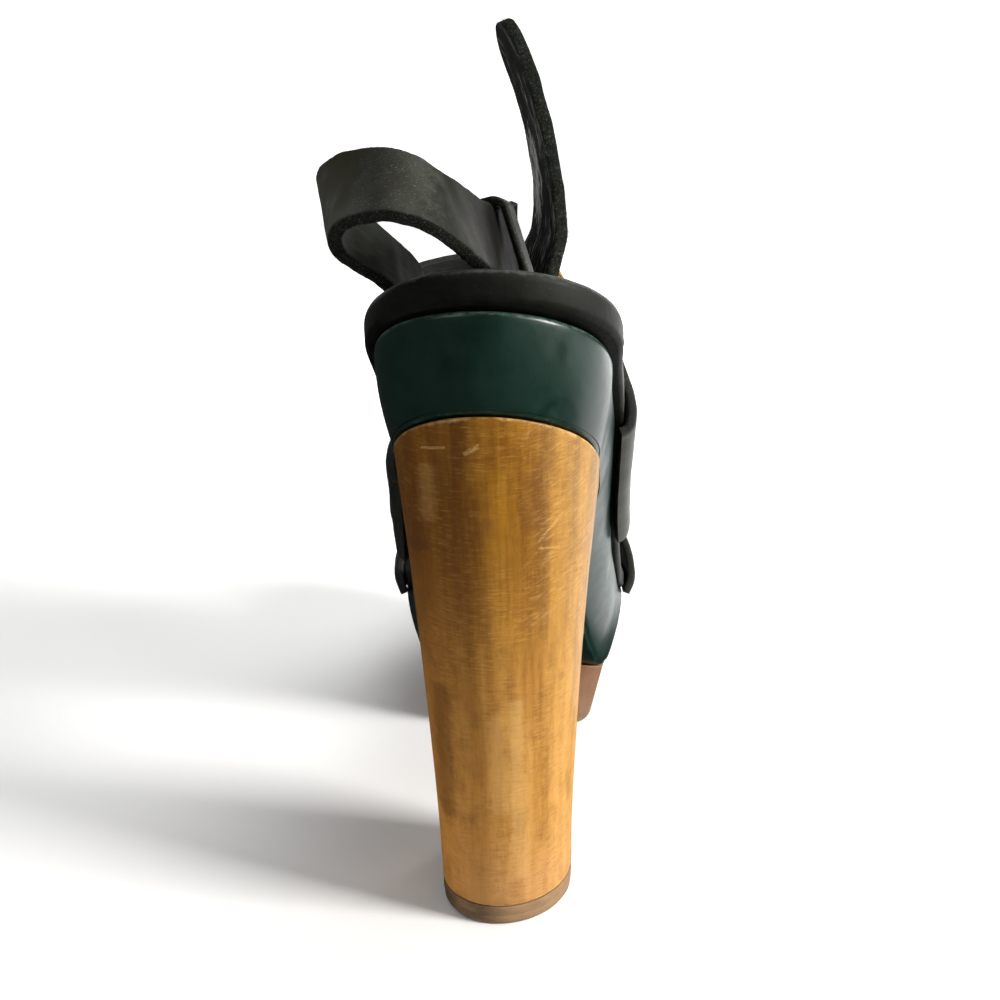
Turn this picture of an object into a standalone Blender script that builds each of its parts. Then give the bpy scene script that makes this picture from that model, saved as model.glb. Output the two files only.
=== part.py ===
"""Platform sandal for the right foot: wooden heel, wrapped midsole, leather bands, slack sling strap and buckle.

Sizes are in millimetres and become metres where a mesh is made. +X is the outer side of the foot, +Y points to
the toe and +Z is up. The origin is the middle of the heel tip's ground face.
"""
import math

import bmesh
import bpy
import numpy as np

MM = 0.001
GAP = 0.3

# Sole line, heel to toe: place along the shoe, height of the footbed's upper face, middle and half width of its outline
SOLE_COLUMNS = ("y", "top", "centre", "half")
SOLE_ROWS = (
    (-28.0, 161.0, 0.0, 29.3),
    (-8.0, 151.0, 0.0, 29.3),
    (11.0, 139.5, -0.2, 29.3),
    (27.0, 126.7, 0.4, 29.8),
    (40.0, 113.2, 0.0, 30.0),
    (52.0, 98.7, -0.8, 30.5),
    (64.0, 83.2, -1.3, 31.4),
    (80.0, 64.9, -1.6, 33.0),
    (92.0, 54.0, -2.1, 34.5),
    (103.0, 47.3, -3.0, 36.6),
    (116.0, 44.0, -4.2, 37.8),
    (150.0, 44.0, -7.0, 34.5),
    (178.0, 47.5, -12.0, 30.0),
)
HEEL_ROUND = 33.0
TOE_ROUND = 34.0
HEEL_POWER = 2.0
TOE_POWER = 2.3

# Footbed
FOOTBED_THICK = 6.5
RIM_TOP_RADIUS = 3.0
RIM_BOTTOM_RADIUS = 2.0

# Midsole: height of its underside, how far its wall stands inside the footbed's edge and how far it tucks in below
UNDERSIDE_COLUMNS = ("y", "z", "inset", "tuck")
UNDERSIDE_ROWS = (
    (-30.0, 134.6, 2.4, 3.0),
    (0.0, 116.4, 2.4, 3.0),
    (24.0, 99.0, 2.4, 4.0),
    (40.0, 80.0, 2.3, 7.5),
    (56.0, 57.0, 2.1, 8.5),
    (70.0, 36.0, 1.7, 7.5),
    (80.0, 23.5, 1.3, 5.5),
    (89.0, 18.8, 1.0, 4.8),
    (150.0, 18.8, 0.8, 4.8),
    (180.0, 25.0, 0.8, 4.8),
)
WALL_POWER = 1.9

# Wooden heel and its tip
HEEL_TOP_HALF = 23.8
HEEL_TOP_BACK = -22.4
HEEL_TOP_FRONT = 27.0
HEEL_TOP_ROUND = 27.0
HEEL_TOP_CORNER = 7.0
HEEL_BASE_HALF = 16.4
HEEL_BASE_BACK = -18.0
HEEL_BASE_FRONT = 18.0
HEEL_BASE_ROUND = 17.5
HEEL_BASE_CORNER = 5.0
HEEL_FLARE = 1.45
HEEL_TURN = 0.10
HEEL_TURN_END = 32.0
HEEL_TIP_THICK = 5.2
SEAT_GAP = 0.55

# Forefoot block and tread
BLOCK_BACK = 76.5
BLOCK_ROUND = 20.0
BLOCK_POWER = 3.2
BLOCK_LEAN = 3.2
BLOCK_EDGE = 1.2
TREAD_THICK = 2.2
TREAD_INSET = 0.5
SPRING_START = 146.0
SPRING_RISE = 6.5

# Last over the foot: station on the sole line, forward lean of the section and height of the instep
LAST_COLUMNS = ("y", "lean", "height")
LAST_ROWS = (
    (28.0, 39.0, 78.0),
    (50.0, 45.0, 70.0),
    (78.0, 43.0, 54.0),
    (106.0, 32.0, 41.0),
    (134.0, 14.0, 30.0),
)
INSTEP_SHIFT = -17.0
INNER_SHOULDER = 3.0
INNER_WAIST = 4.0

# Bands: stations of the rear and front edges at the outer base, over the instep and at the inner base
BAND_COLUMNS = ("edge", "outer", "instep", "inner")
VAMP_ROWS = (
    ("rear", 34.0, 50.0, 49.0),
    ("front", 68.5, 77.0, 76.0),
)
TOE_ROWS = (
    ("rear", 105.5, 107.0, 103.0),
    ("front", 134.0, 133.0, 136.0),
)
BAND_THICK = 2.6
BAND_END_GAP = 1.5

# Side of a band from the sole upwards: distance outside the footbed's edge and height above its upper face
BAND_SIDE_COLUMNS = ("outside", "rise")
BAND_SIDE_ROWS = (
    (-1.9, -8.7),
    (1.0, -8.0),
    (2.2, -4.2),
    (2.0, 0.8),
    (0.2, 7.5),
)

# Sling strap: middle line, then the direction across the strap from lower to upper edge
STRAP_COLUMNS = ("x", "y", "z", "across_x", "across_y", "across_z")
SLING_ROWS = (
    (-28.1, 70.0, 97.8, 0.10, 0.70, 0.70),
    (-27.5, 62.0, 107.0, 0.10, 0.70, 0.70),
    (-26.8, 52.5, 116.5, 0.10, 0.70, 0.70),
    (-26.0, 44.0, 126.0, 0.10, 0.72, 0.69),
    (-24.5, 35.0, 135.5, 0.12, 0.74, 0.66),
    (-22.0, 25.0, 144.0, 0.12, 0.80, 0.58),
    (-20.9, 16.0, 151.3, 0.08, 0.92, 0.38),
    (-23.6, 10.8, 156.9, 0.02, 0.95, 0.28),
    (-28.6, 7.4, 161.9, 0.08, 0.86, 0.51),
    (-33.2, 2.4, 166.5, -0.12, 0.64, 0.76),
    (-34.1, -5.7, 170.6, -0.28, 0.53, 0.80),
    (-30.2, -13.0, 174.1, -0.20, 0.70, 0.68),
    (-23.8, -19.1, 176.0, -0.15, 0.75, 0.64),
    (-17.5, -23.4, 175.9, -0.15, 0.76, 0.63),
    (-12.2, -24.4, 174.7, -0.15, 0.76, 0.63),
    (-7.2, -21.3, 171.3, -0.14, 0.72, 0.68),
    (-3.4, -14.2, 167.2, -0.13, 0.68, 0.72),
    (-0.6, -5.1, 163.7, -0.11, 0.58, 0.81),
    (2.1, 5.3, 161.4, -0.10, 0.47, 0.88),
    (3.5, 15.1, 160.9, -0.05, 0.25, 0.96),
    (3.2, 23.0, 160.4, 0.06, 0.05, 0.99),
    (2.0, 27.8, 160.1, 0.10, 0.00, 0.99),
    (0.8, 32.4, 159.6, 0.10, 0.00, 0.99),
)
STRAP_WIDTH = 16.5
STRAP_THICK = 3.2

# Ankle strap: how it passes the buckle (distance up the strap from the lower bar, distance outwards), then its run
# up to the free end
PASS_COLUMNS = ("up", "out")
PASS_ROWS = (
    (-12.0, 5.0),
    (-5.0, 5.5),
    (0.0, 5.8),
    (3.4, 4.9),
    (6.9, 1.9),
    (10.3, -1.4),
    (13.5, -3.7),
    (17.5, -4.4),
)
ANKLE_ROWS = (
    (9.7, 29.5, 156.4, -0.46, 0.88, 0.10),
    (11.6, 32.0, 163.0, -0.38, 0.92, 0.04),
    (11.9, 33.3, 169.0, -0.33, 0.94, 0.00),
    (11.0, 35.0, 177.5, -0.28, 0.96, -0.04),
    (8.8, 37.0, 189.0, -0.26, 0.96, -0.06),
    (5.4, 39.0, 200.0, -0.25, 0.97, -0.08),
    (1.0, 40.6, 210.5, -0.25, 0.97, -0.10),
)
STRAP_TIP_ROUND = 8.2

# Buckle: middle of the lower bar, direction up the strap and direction along the bar
BUCKLE_BAR = (18.5, 37.0, 138.0)
BUCKLE_UP = (-0.41, -0.41, 0.82)
BUCKLE_ALONG = (-0.43, 0.90, 0.00)
BUCKLE_INNER_WIDTH = 18.2
BUCKLE_INNER_LENGTH = 14.0
BUCKLE_WIRE = 1.25
BUCKLE_CORNER = 3.0
PRONG_RADIUS = 0.9
PRONG_CLEAR = 0.45

# Buckle tab: its fold round the lower bar (distance up, distance outwards), then its run down to the vamp band
TAB_INNER_ROWS = (
    (-11.0, -1.3),
    (-6.5, -1.3),
)
TAB_OUTER_ROWS = (
    (-6.5, 1.3),
    (-11.0, 1.3),
)
TAB_ROWS = (
    (25.2, 45.0, 124.0, -0.35, 0.88, 0.32),
    (26.5, 49.5, 117.5, -0.24, 0.86, 0.45),
    (26.5, 55.0, 111.5, -0.20, 0.78, 0.59),
    (26.4, 60.0, 106.0, -0.18, 0.75, 0.63),
)
TAB_WIDTH = 16.0
TAB_THICK = 2.0
TAB_FOLD_RADIUS = 2.7
TAB_SLOT_WIDTH = 4.4

# Keeper: its place along the sling strap, from start to end, and its walls
KEEPER_STATION = 0.85
KEEPER_WIDTH = 5.5
KEEPER_THICK = 1.7
KEEPER_INNER = 7.0
KEEPER_SHIFT = 1.1
KEEPER_TAPER = 2.0
KEEPER_CLEAR = 0.6
KEEPER_CORNER = 1.2

# Finishes: base colour, roughness and metallic value
FINISHES = {
    "wood": ((0.42, 0.20, 0.06, 1.0), 0.32, 0.0),
    "block": ((0.20, 0.09, 0.04, 1.0), 0.45, 0.0),
    "rubber": ((0.10, 0.08, 0.07, 1.0), 0.80, 0.0),
    "green": ((0.02, 0.08, 0.06, 1.0), 0.40, 0.0),
    "black": ((0.015, 0.015, 0.014, 1.0), 0.50, 0.0),
    "brass": ((0.62, 0.44, 0.17, 1.0), 0.25, 1.0),
}


def smooth_curve(rows, count):
    """Points of a smooth curve through the rows, evenly spaced in each row's own length."""
    rows = np.asarray(rows, dtype=float)
    knots = np.concatenate([[0.0], np.cumsum(np.linalg.norm(np.diff(rows[:, :3], axis=0), axis=1))])
    slopes = np.gradient(rows, knots, axis=0)
    places = np.linspace(0.0, knots[-1], count)
    index = np.clip(np.searchsorted(knots, places, side="right") - 1, 0, len(knots) - 2)
    span = (knots[index + 1] - knots[index])[:, None]
    t = (places - knots[index])[:, None] / span
    start, end = rows[index], rows[index + 1]
    leave, arrive = slopes[index] * span, slopes[index + 1] * span
    return ((2 * t**3 - 3 * t**2 + 1) * start + (t**3 - 2 * t**2 + t) * leave
            + (-2 * t**3 + 3 * t**2) * end + (t**3 - t**2) * arrive)


SOLE = smooth_curve(SOLE_ROWS, 600)
UNDERSIDE = smooth_curve(UNDERSIDE_ROWS, 600)
LAST = smooth_curve(LAST_ROWS, 300)
TOE_END = SOLE_ROWS[-1][0]
HEEL_END = SOLE_ROWS[0][0]


def sole_value(y, column):
    """Value of a column of the sole table at a place along the shoe."""
    return np.interp(y, SOLE[:, 0], SOLE[:, SOLE_COLUMNS.index(column)])


def underside_value(y, column):
    """Value of a column of the underside table at a place along the shoe."""
    return np.interp(y, UNDERSIDE[:, 0], UNDERSIDE[:, UNDERSIDE_COLUMNS.index(column)])


def last_value(y, column):
    """Value of a column of the last table at a station."""
    return np.interp(y, LAST[:, 0], LAST[:, LAST_COLUMNS.index(column)])


def sole_slope(y):
    """Downward slope of the footbed at a place along the shoe, in radians."""
    return np.arctan2(sole_value(y - 0.5, "top") - sole_value(y + 0.5, "top"), 1.0)


def footbed_half(y):
    """Half width of the footbed with its rounded heel and toe ends."""
    y = np.asarray(y, dtype=float)
    heel = np.clip((HEEL_END + HEEL_ROUND - y) / HEEL_ROUND, 0.0, 1.0)
    toe = np.clip((y - TOE_END + TOE_ROUND) / TOE_ROUND, 0.0, 1.0)
    ends = (1 - heel**HEEL_POWER) ** (1 / HEEL_POWER) * (1 - toe**TOE_POWER) ** (1 / TOE_POWER)
    return sole_value(y, "half") * ends


def edge_x(y, side):
    """Footbed's edge on the outer side (+1) or inner side (-1)."""
    return sole_value(y, "centre") + side * footbed_half(y)


def end_places(start, length, steps, towards):
    """Places along a rounded end, close together where the outline turns."""
    angles = np.linspace(0.0, math.pi / 2, steps + 1)
    return start + towards * length * (1 - np.cos(angles))


def footbed_outline():
    """Closed plan outline: heel point, outer side to the toe point, inner side back."""
    heel = end_places(HEEL_END, HEEL_ROUND, 9, 1)
    toe = end_places(TOE_END, TOE_ROUND, 9, -1)[::-1]
    middle = np.linspace(heel[-1], toe[0], 22)[1:-1]
    places = np.concatenate([heel, middle, toe])
    outer = np.stack([edge_x(places, 1), places], axis=1)
    inner = np.stack([edge_x(places, -1), places], axis=1)
    return np.concatenate([outer, inner[-2:0:-1]])


def inset_outline(outline, distance):
    """Outline moved inwards by a distance, or by one distance for each point."""
    along = np.roll(outline, -1, axis=0) - np.roll(outline, 1, axis=0)
    inward = np.stack([-along[:, 1], along[:, 0]], axis=1)
    inward /= np.linalg.norm(inward, axis=1)[:, None]
    return outline + inward * np.reshape(distance, (-1, 1))


def rounded_edge(thick, top_radius, bottom_radius, steps):
    """Inset and depth of each ring round an edge with a rounded top and bottom."""
    angles = np.linspace(0.0, math.pi / 2, steps + 1)
    top = [(top_radius * (1 - math.sin(a)), top_radius * (1 - math.cos(a))) for a in angles]
    low = [(bottom_radius * (1 - math.cos(a)), thick - bottom_radius * (1 - math.sin(a))) for a in angles]
    return top + low


def paired_caps(count, first, single_end):
    """Faces across a ring whose outer and inner sides mirror one another in order."""
    faces = []
    last = count // 2 if single_end else (count - 1) // 2
    for j in range(last):
        near, far = (count - j) % count, count - j - 1
        corners = [j, j + 1, far, near]
        unique = list(dict.fromkeys(corners))
        faces.append([first + i for i in unique])
    return faces


def paint(name, finish):
    """Material of one piece."""
    colour, roughness, metallic = FINISHES[finish]
    material = bpy.data.materials.new(name + "_paint")
    material.use_nodes = True
    inputs = material.node_tree.nodes["Principled BSDF"].inputs
    inputs["Base Color"].default_value = colour
    inputs["Roughness"].default_value = roughness
    inputs["Metallic"].default_value = metallic
    return material


def mesh_object(name, points, faces, finish, smooth_angle=40.0):
    """One closed object from points in millimetres, with its own material."""
    mesh = bpy.data.meshes.new(name)
    mesh.from_pydata([tuple(float(v) * MM for v in p) for p in points], [], faces)
    work = bmesh.new()
    work.from_mesh(mesh)
    bmesh.ops.recalc_face_normals(work, faces=work.faces)
    work.to_mesh(mesh)
    work.free()
    mesh.shade_smooth()
    mesh.set_sharp_from_angle(angle=math.radians(smooth_angle))
    built = bpy.data.objects.new(name, mesh)
    bpy.context.scene.collection.objects.link(built)
    mesh.materials.append(paint(name, finish))
    return built


def stack_object(name, rings, finish, single_end=True, smooth_angle=40.0):
    """Solid through a stack of rings, closed by faces across the first and the last."""
    count = len(rings[0])
    points = np.concatenate(rings)
    faces = paired_caps(count, 0, single_end) + paired_caps(count, count * (len(rings) - 1), single_end)
    for k in range(len(rings) - 1):
        low, high = k * count, (k + 1) * count
        faces += [[low + i, low + (i + 1) % count, high + (i + 1) % count, high + i] for i in range(count)]
    return mesh_object(name, points, faces, finish, smooth_angle)


def cut(target, cutter):
    """Take the cutter's space out of the target and remove the cutter."""
    modifier = target.modifiers.new("cut", "BOOLEAN")
    modifier.operation = "DIFFERENCE"
    modifier.solver = "EXACT"
    modifier.object = cutter
    graph = bpy.context.evaluated_depsgraph_get()
    result = bpy.data.meshes.new_from_object(target.evaluated_get(graph))
    target.modifiers.clear()
    target.data = result
    bpy.data.objects.remove(cutter)


def build_footbed():
    """Footbed with its rolled edge."""
    outline = footbed_outline()
    rings = []
    for inset, depth in rounded_edge(FOOTBED_THICK, RIM_TOP_RADIUS, RIM_BOTTOM_RADIUS, 4):
        ring = inset_outline(outline, inset)
        height = sole_value(ring[:, 1], "top") - depth / np.cos(sole_slope(ring[:, 1]))
        rings.append(np.column_stack([ring, height]))
    return stack_object("footbed", rings, "black")


def heel_turn(plan):
    """Plan outline turned a little at the heel, its outer side further forward than its inner side."""
    share = np.clip((HEEL_TURN_END - plan[:, 1]) / HEEL_TURN_END, 0.0, 1.0)
    forward = HEEL_TURN * plan[:, 0] * share**2 * (3 - 2 * share)
    return np.column_stack([plan[:, 0], plan[:, 1] + forward])


def build_midsole():
    """Wrapped wedge between the footbed and the wood."""
    outline = footbed_outline()
    rings = []
    for depth in (0.0, 0.2, 0.4, 0.6, 0.8, 0.93, 1.0):
        inset = underside_value(outline[:, 1], "inset") + underside_value(outline[:, 1], "tuck") * depth**WALL_POWER
        ring = heel_turn(inset_outline(outline, inset))
        top = sole_value(ring[:, 1], "top") - (FOOTBED_THICK + GAP) / np.cos(sole_slope(ring[:, 1]))
        low = underside_value(ring[:, 1], "z")
        rings.append(np.column_stack([ring, top + (low - top) * depth]))
    return stack_object("midsole", rings, "green")


def heel_outline(half, back, front, round_length, corner):
    """Plan outline of the heel: rounded back, straight sides and a front with rounded corners."""
    angles = np.linspace(0.0, math.pi / 2, 11)
    arc = [(half * math.sin(a), back + round_length * (1 - math.cos(a))) for a in angles]
    side = [(half, y) for y in np.linspace(back + round_length, front - corner, 6)[1:]]
    turn = [(half - corner * (1 - math.cos(a)), front - corner * (1 - math.sin(a))) for a in angles[2::2]]
    outer = np.array(arc + side + turn)
    inner = outer[:0:-1] * (-1, 1)
    return heel_turn(np.concatenate([outer, inner]))


def build_heel():
    """Wooden heel block and the tip under it."""
    base = heel_outline(HEEL_BASE_HALF, HEEL_BASE_BACK, HEEL_BASE_FRONT, HEEL_BASE_ROUND, HEEL_BASE_CORNER)
    seat = heel_outline(HEEL_TOP_HALF, HEEL_TOP_BACK, HEEL_TOP_FRONT, HEEL_TOP_ROUND, HEEL_TOP_CORNER)
    foot = HEEL_TIP_THICK + GAP
    rings = []
    for rise in np.linspace(0.0, 1.0, 10):
        plan = base + (seat - base) * rise**HEEL_FLARE
        height = foot + (underside_value(plan[:, 1], "z") - SEAT_GAP - foot) * rise
        rings.append(np.column_stack([plan, height]))
    stack_object("heel_block", rings, "wood", single_end=False)
    tip = [np.column_stack([base, np.full(len(base), z)]) for z in (0.0, HEEL_TIP_THICK)]
    stack_object("heel_tip", tip, "rubber", single_end=False)


def block_outline(inset):
    """Plan outline of the forefoot block where it meets the midsole."""
    rear = end_places(BLOCK_BACK, BLOCK_ROUND, 9, 1)
    toe_edge = TOE_END - inset
    toe = end_places(toe_edge, TOE_ROUND, 9, -1)[::-1]
    places = np.concatenate([rear, np.linspace(rear[-1], toe[0], 10)[1:-1], toe])
    back = np.clip((BLOCK_BACK + BLOCK_ROUND - places) / BLOCK_ROUND, 0.0, 1.0)
    front = np.clip((places - toe_edge + TOE_ROUND) / TOE_ROUND, 0.0, 1.0)
    ends = (1 - back**BLOCK_POWER) ** (1 / BLOCK_POWER) * (1 - front**TOE_POWER) ** (1 / TOE_POWER)
    half = (sole_value(places, "half") - inset) * ends
    centre = sole_value(places, "centre")
    outer = np.stack([centre + half, places], axis=1)
    inner = np.stack([centre - half, places], axis=1)
    return np.concatenate([outer, inner[-2:0:-1]])


def ground_rise(y):
    """Height of the tread's underside: flat, then the toe spring."""
    ahead = np.clip((np.asarray(y) - SPRING_START) / (TOE_END - SPRING_START), 0.0, 1.0)
    return SPRING_RISE * ahead**2


def build_forefoot():
    """Wooden block under the forefoot and its tread."""
    inset = float(underside_value(110.0, "inset") + underside_value(110.0, "tuck")) + BLOCK_EDGE
    outline = block_outline(inset)
    rings = []
    for drop in (0.0, 0.25, 0.5, 0.75, 1.0):
        plan = inset_outline(outline, BLOCK_LEAN * drop)
        top = underside_value(plan[:, 1], "z") - SEAT_GAP
        low = ground_rise(plan[:, 1]) + TREAD_THICK + GAP
        rings.append(np.column_stack([plan, top + (low - top) * drop]))
    stack_object("forefoot_block", rings, "block")
    plan = inset_outline(outline, BLOCK_LEAN + TREAD_INSET)
    tread = [np.column_stack([plan, ground_rise(plan[:, 1]) + rise]) for rise in (0.0, TREAD_THICK)]
    stack_object("forefoot_tread", tread, "rubber")


def last_point(station, outside, rise, side):
    """Point beside the footbed: distance outside its edge and height over its upper face."""
    lean = math.radians(float(last_value(station, "lean")))
    y = station + rise * math.sin(lean)
    z = float(sole_value(station, "top")) + rise * math.cos(lean)
    base = station + min(rise, 0.0) * math.sin(lean)
    return float(edge_x(base, side)) + side * outside, y, z


def band_side(station, side):
    """Points up a band's side, its lower end stopping at the midsole's wall."""
    stop = BAND_END_GAP - float(underside_value(station, "inset"))
    return [last_point(station, max(reach, stop), rise, side) for reach, rise in BAND_SIDE_ROWS]


def band_section(outer, instep, inner):
    """Points of a band's middle line from the outer base over the instep to the inner base."""
    height = float(last_value(instep, "height"))
    points = band_side(outer, 1)
    high = outer + (instep - outer) * 0.45
    points.append(last_point(high, -3.5, height * 0.40, 1))
    points.append(last_point(instep + (outer - instep) * 0.12, -15.0, height * 0.80, 1))
    lean = math.radians(float(last_value(instep, "lean")))
    top = float(sole_value(instep, "top")) + height * math.cos(lean)
    points.append((INSTEP_SHIFT, instep + height * math.sin(lean), top))
    points.append(last_point(instep + (inner - instep) * 0.12, INNER_SHOULDER, height * 0.90, -1))
    low = inner + (instep - inner) * 0.45
    points.append(last_point(low, INNER_WAIST, height * 0.50, -1))
    points += reversed(band_side(inner, -1))
    return smooth_curve(points, 45)


def sheet_object(name, grid, thick, finish):
    """Closed shell of even thickness round a grid of points that lie in its middle."""
    rows, columns = grid.shape[:2]
    normal = np.cross(np.gradient(grid, axis=1), np.gradient(grid, axis=0))
    normal /= np.linalg.norm(normal, axis=2)[:, :, None]
    points = np.concatenate([(grid + normal * thick / 2).reshape(-1, 3), (grid - normal * thick / 2).reshape(-1, 3)])
    back = rows * columns
    faces = []
    for i in range(rows - 1):
        for j in range(columns - 1):
            quad = [i * columns + j, i * columns + j + 1, (i + 1) * columns + j + 1, (i + 1) * columns + j]
            faces.append(quad)
            faces.append([back + k for k in reversed(quad)])
    border = [j for j in range(columns)] + [i * columns + columns - 1 for i in range(1, rows)]
    border += [(rows - 1) * columns + j for j in range(columns - 2, -1, -1)]
    border += [i * columns for i in range(rows - 2, 0, -1)]
    for k, start in enumerate(border):
        end = border[(k + 1) % len(border)]
        faces.append([start, back + start, back + end, end])
    return mesh_object(name, points, faces, finish)


def build_band(name, rows):
    """A leather band over the foot."""
    rear, front = np.array(rows[0][1:]), np.array(rows[1][1:])
    grid = np.array([band_section(*(rear + (front - rear) * t)) for t in np.linspace(0.0, 1.0, 9)])
    return sheet_object(name, grid, BAND_THICK, "black")


def strap_frames(rows, count):
    """Middle points of a strap with its directions along, across and out of the leather."""
    curve = smooth_curve(rows, count)
    middle = curve[:, :3]
    along = np.gradient(middle, axis=0)
    along /= np.linalg.norm(along, axis=1)[:, None]
    across = curve[:, 3:6] - along * np.sum(curve[:, 3:6] * along, axis=1)[:, None]
    across /= np.linalg.norm(across, axis=1)[:, None]
    return middle, along, across, np.cross(along, across)


def strap_object(name, frames, widths, thick, finish):
    """Strap of rectangular section along its frames."""
    middle, _, across, out = frames
    half = np.reshape(widths, (-1, 1)) / 2
    corners = [(-1, -1), (1, -1), (1, 1), (-1, 1)]
    rings = [middle + across * half * a + out * thick / 2 * b for a, b in corners]
    count = len(middle)
    points = np.concatenate(rings)
    faces = []
    for c in range(4):
        here, there = c * count, (c + 1) % 4 * count
        faces += [[here + i, here + i + 1, there + i + 1, there + i] for i in range(count - 1)]
    faces.append([c * count for c in range(4)])
    faces.append([c * count + count - 1 for c in range(4)])
    return mesh_object(name, points, faces, finish)


def rounded_widths(middle, width, radius, at_start, at_end):
    """Widths along a strap with rounded ends."""
    place = np.concatenate([[0.0], np.cumsum(np.linalg.norm(np.diff(middle, axis=0), axis=1))])
    widths = np.full(len(middle), width)
    for distance, wanted in ((place, at_start), (place[-1] - place, at_end)):
        if wanted:
            reach = np.clip(1 - distance / radius, 0.0, 0.985)
            widths = np.minimum(widths, width * np.sqrt(1 - reach**2))
    return widths


def rod_object(name, path, radius, finish, closed, sides=10):
    """Round rod along a path, open or closed on itself."""
    path = np.asarray(path, dtype=float)
    count = len(path)
    if closed:
        along = np.roll(path, -1, axis=0) - np.roll(path, 1, axis=0)
    else:
        along = np.gradient(path, axis=0)
    along /= np.linalg.norm(along, axis=1)[:, None]
    flat = np.cross(path[1] - path[0], path[count // 2] - path[0])
    flat /= np.linalg.norm(flat)
    other = np.cross(along, flat)
    turn = np.linspace(0.0, 2 * math.pi, sides, endpoint=False)
    points = [path[i] + radius * (math.cos(a) * flat + math.sin(a) * other[i]) for i in range(count) for a in turn]
    faces = []
    for i in range(count if closed else count - 1):
        here, there = i * sides, (i + 1) % count * sides
        faces += [[here + k, here + (k + 1) % sides, there + (k + 1) % sides, there + k] for k in range(sides)]
    if not closed:
        faces += [list(range(sides)), list(range((count - 1) * sides, count * sides))]
    return mesh_object(name, points, faces, finish)


def buckle_axes():
    """Unit directions of the buckle: along the bar, up the strap and outwards."""
    up = np.array(BUCKLE_UP) / np.linalg.norm(BUCKLE_UP)
    along = np.array(BUCKLE_ALONG) - up * np.dot(BUCKLE_ALONG, up)
    along /= np.linalg.norm(along)
    return along, up, np.cross(along, up)


def buckle_point(along_bar, up_strap, outwards):
    """Point in the buckle's own directions, from the middle of its lower bar."""
    along, up, out = buckle_axes()
    return np.array(BUCKLE_BAR) + along * along_bar + up * up_strap + out * outwards


def build_buckle():
    """Brass frame and prong; gives the prong's straight line."""
    half = BUCKLE_INNER_WIDTH / 2 + BUCKLE_WIRE
    length = BUCKLE_INNER_LENGTH + 2 * BUCKLE_WIRE
    corners = ((half, 0.0, 0), (half, length, 90), (-half, length, 180), (-half, 0.0, 270))
    path = []
    for across, up, turn in corners:
        middle_a = across - math.copysign(BUCKLE_CORNER, across)
        middle_u = up + (BUCKLE_CORNER if up == 0.0 else -BUCKLE_CORNER)
        for a in np.radians(np.linspace(turn - 90, turn, 5)):
            path.append(buckle_point(middle_a + BUCKLE_CORNER * math.cos(a), middle_u + BUCKLE_CORNER * math.sin(a), 0.0))
    rod_object("buckle_frame", path, BUCKLE_WIRE, "brass", True)
    level = BUCKLE_WIRE + GAP + PRONG_RADIUS
    coil = [buckle_point(0.0, level * math.sin(a), level * math.cos(a)) for a in np.radians(np.linspace(105, 360, 16))]
    blade = [buckle_point(0.0, up, level) for up in (length * 0.35, length * 0.7, length + BUCKLE_WIRE + 0.8)]
    rod_object("buckle_prong", coil + blade, PRONG_RADIUS, "brass", False)
    return coil[-1], blade[-1]


def build_tab():
    """Leather tab folded round the buckle's lower bar, with a slot for the prong."""
    along = buckle_axes()[0]
    fold = np.radians(np.linspace(215, -35, 13))
    turn = [(TAB_FOLD_RADIUS * math.sin(a), TAB_FOLD_RADIUS * math.cos(a)) for a in fold]
    path = [(*buckle_point(0.0, up, out), *along) for up, out in (*TAB_INNER_ROWS, *turn, *TAB_OUTER_ROWS)]
    frames = strap_frames([*path, *TAB_ROWS], 80)
    tab = strap_object("buckle_tab", frames, TAB_WIDTH, TAB_THICK, "black")
    reach = TAB_FOLD_RADIUS + TAB_THICK
    corners = [(a, u, o) for a in (-0.5, 0.5) for u in (-0.75, 1.0) for o in (-1.0, 1.0)]
    points = [buckle_point(a * TAB_SLOT_WIDTH, u * reach, o * reach) for a, u, o in corners]
    faces = [(0, 1, 3, 2), (4, 6, 7, 5), (0, 4, 5, 1), (2, 3, 7, 6), (0, 2, 6, 4), (1, 5, 7, 3)]
    cut(tab, mesh_object("slot_cutter", points, faces, "black"))


def build_sling():
    """Sling strap round the back, and the keeper loop on it."""
    frames = strap_frames(SLING_ROWS, 90)
    strap_object("sling_strap", frames, STRAP_WIDTH, STRAP_THICK, "black")
    station = round(KEEPER_STATION * (len(frames[0]) - 1))
    middle, along, across, out = (part[station] for part in frames)
    half_w = STRAP_WIDTH / 2 + KEEPER_CLEAR
    half_t = KEEPER_INNER / 2
    loops = []
    for grow in (0.0, KEEPER_THICK):
        corner = KEEPER_CORNER + grow
        loop = []
        for sign_w, sign_t, turn in ((1, 1, 0), (-1, 1, 90), (-1, -1, 180), (1, -1, 270)):
            for a in np.radians(np.linspace(turn, turn + 90, 4)):
                wide = sign_w * (half_w - KEEPER_CORNER) + corner * math.cos(a)
                deep = sign_t * (half_t - KEEPER_CORNER) + corner * math.sin(a)
                lean = KEEPER_TAPER * max(wide, 0.0) / half_w if sign_t > 0 else 0.0
                loop.append(middle + across * wide + out * (deep + KEEPER_SHIFT - lean))
        loops.append(np.array(loop))
    shift = along * KEEPER_WIDTH / 2
    rings = [loops[0] - shift, loops[1] - shift, loops[1] + shift, loops[0] + shift]
    count = len(loops[0])
    faces = []
    for k in range(4):
        here, there = k * count, (k + 1) % 4 * count
        faces += [[here + i, here + (i + 1) % count, there + (i + 1) % count, there + i] for i in range(count)]
    mesh_object("strap_keeper", np.concatenate(rings), faces, "black")


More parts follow.
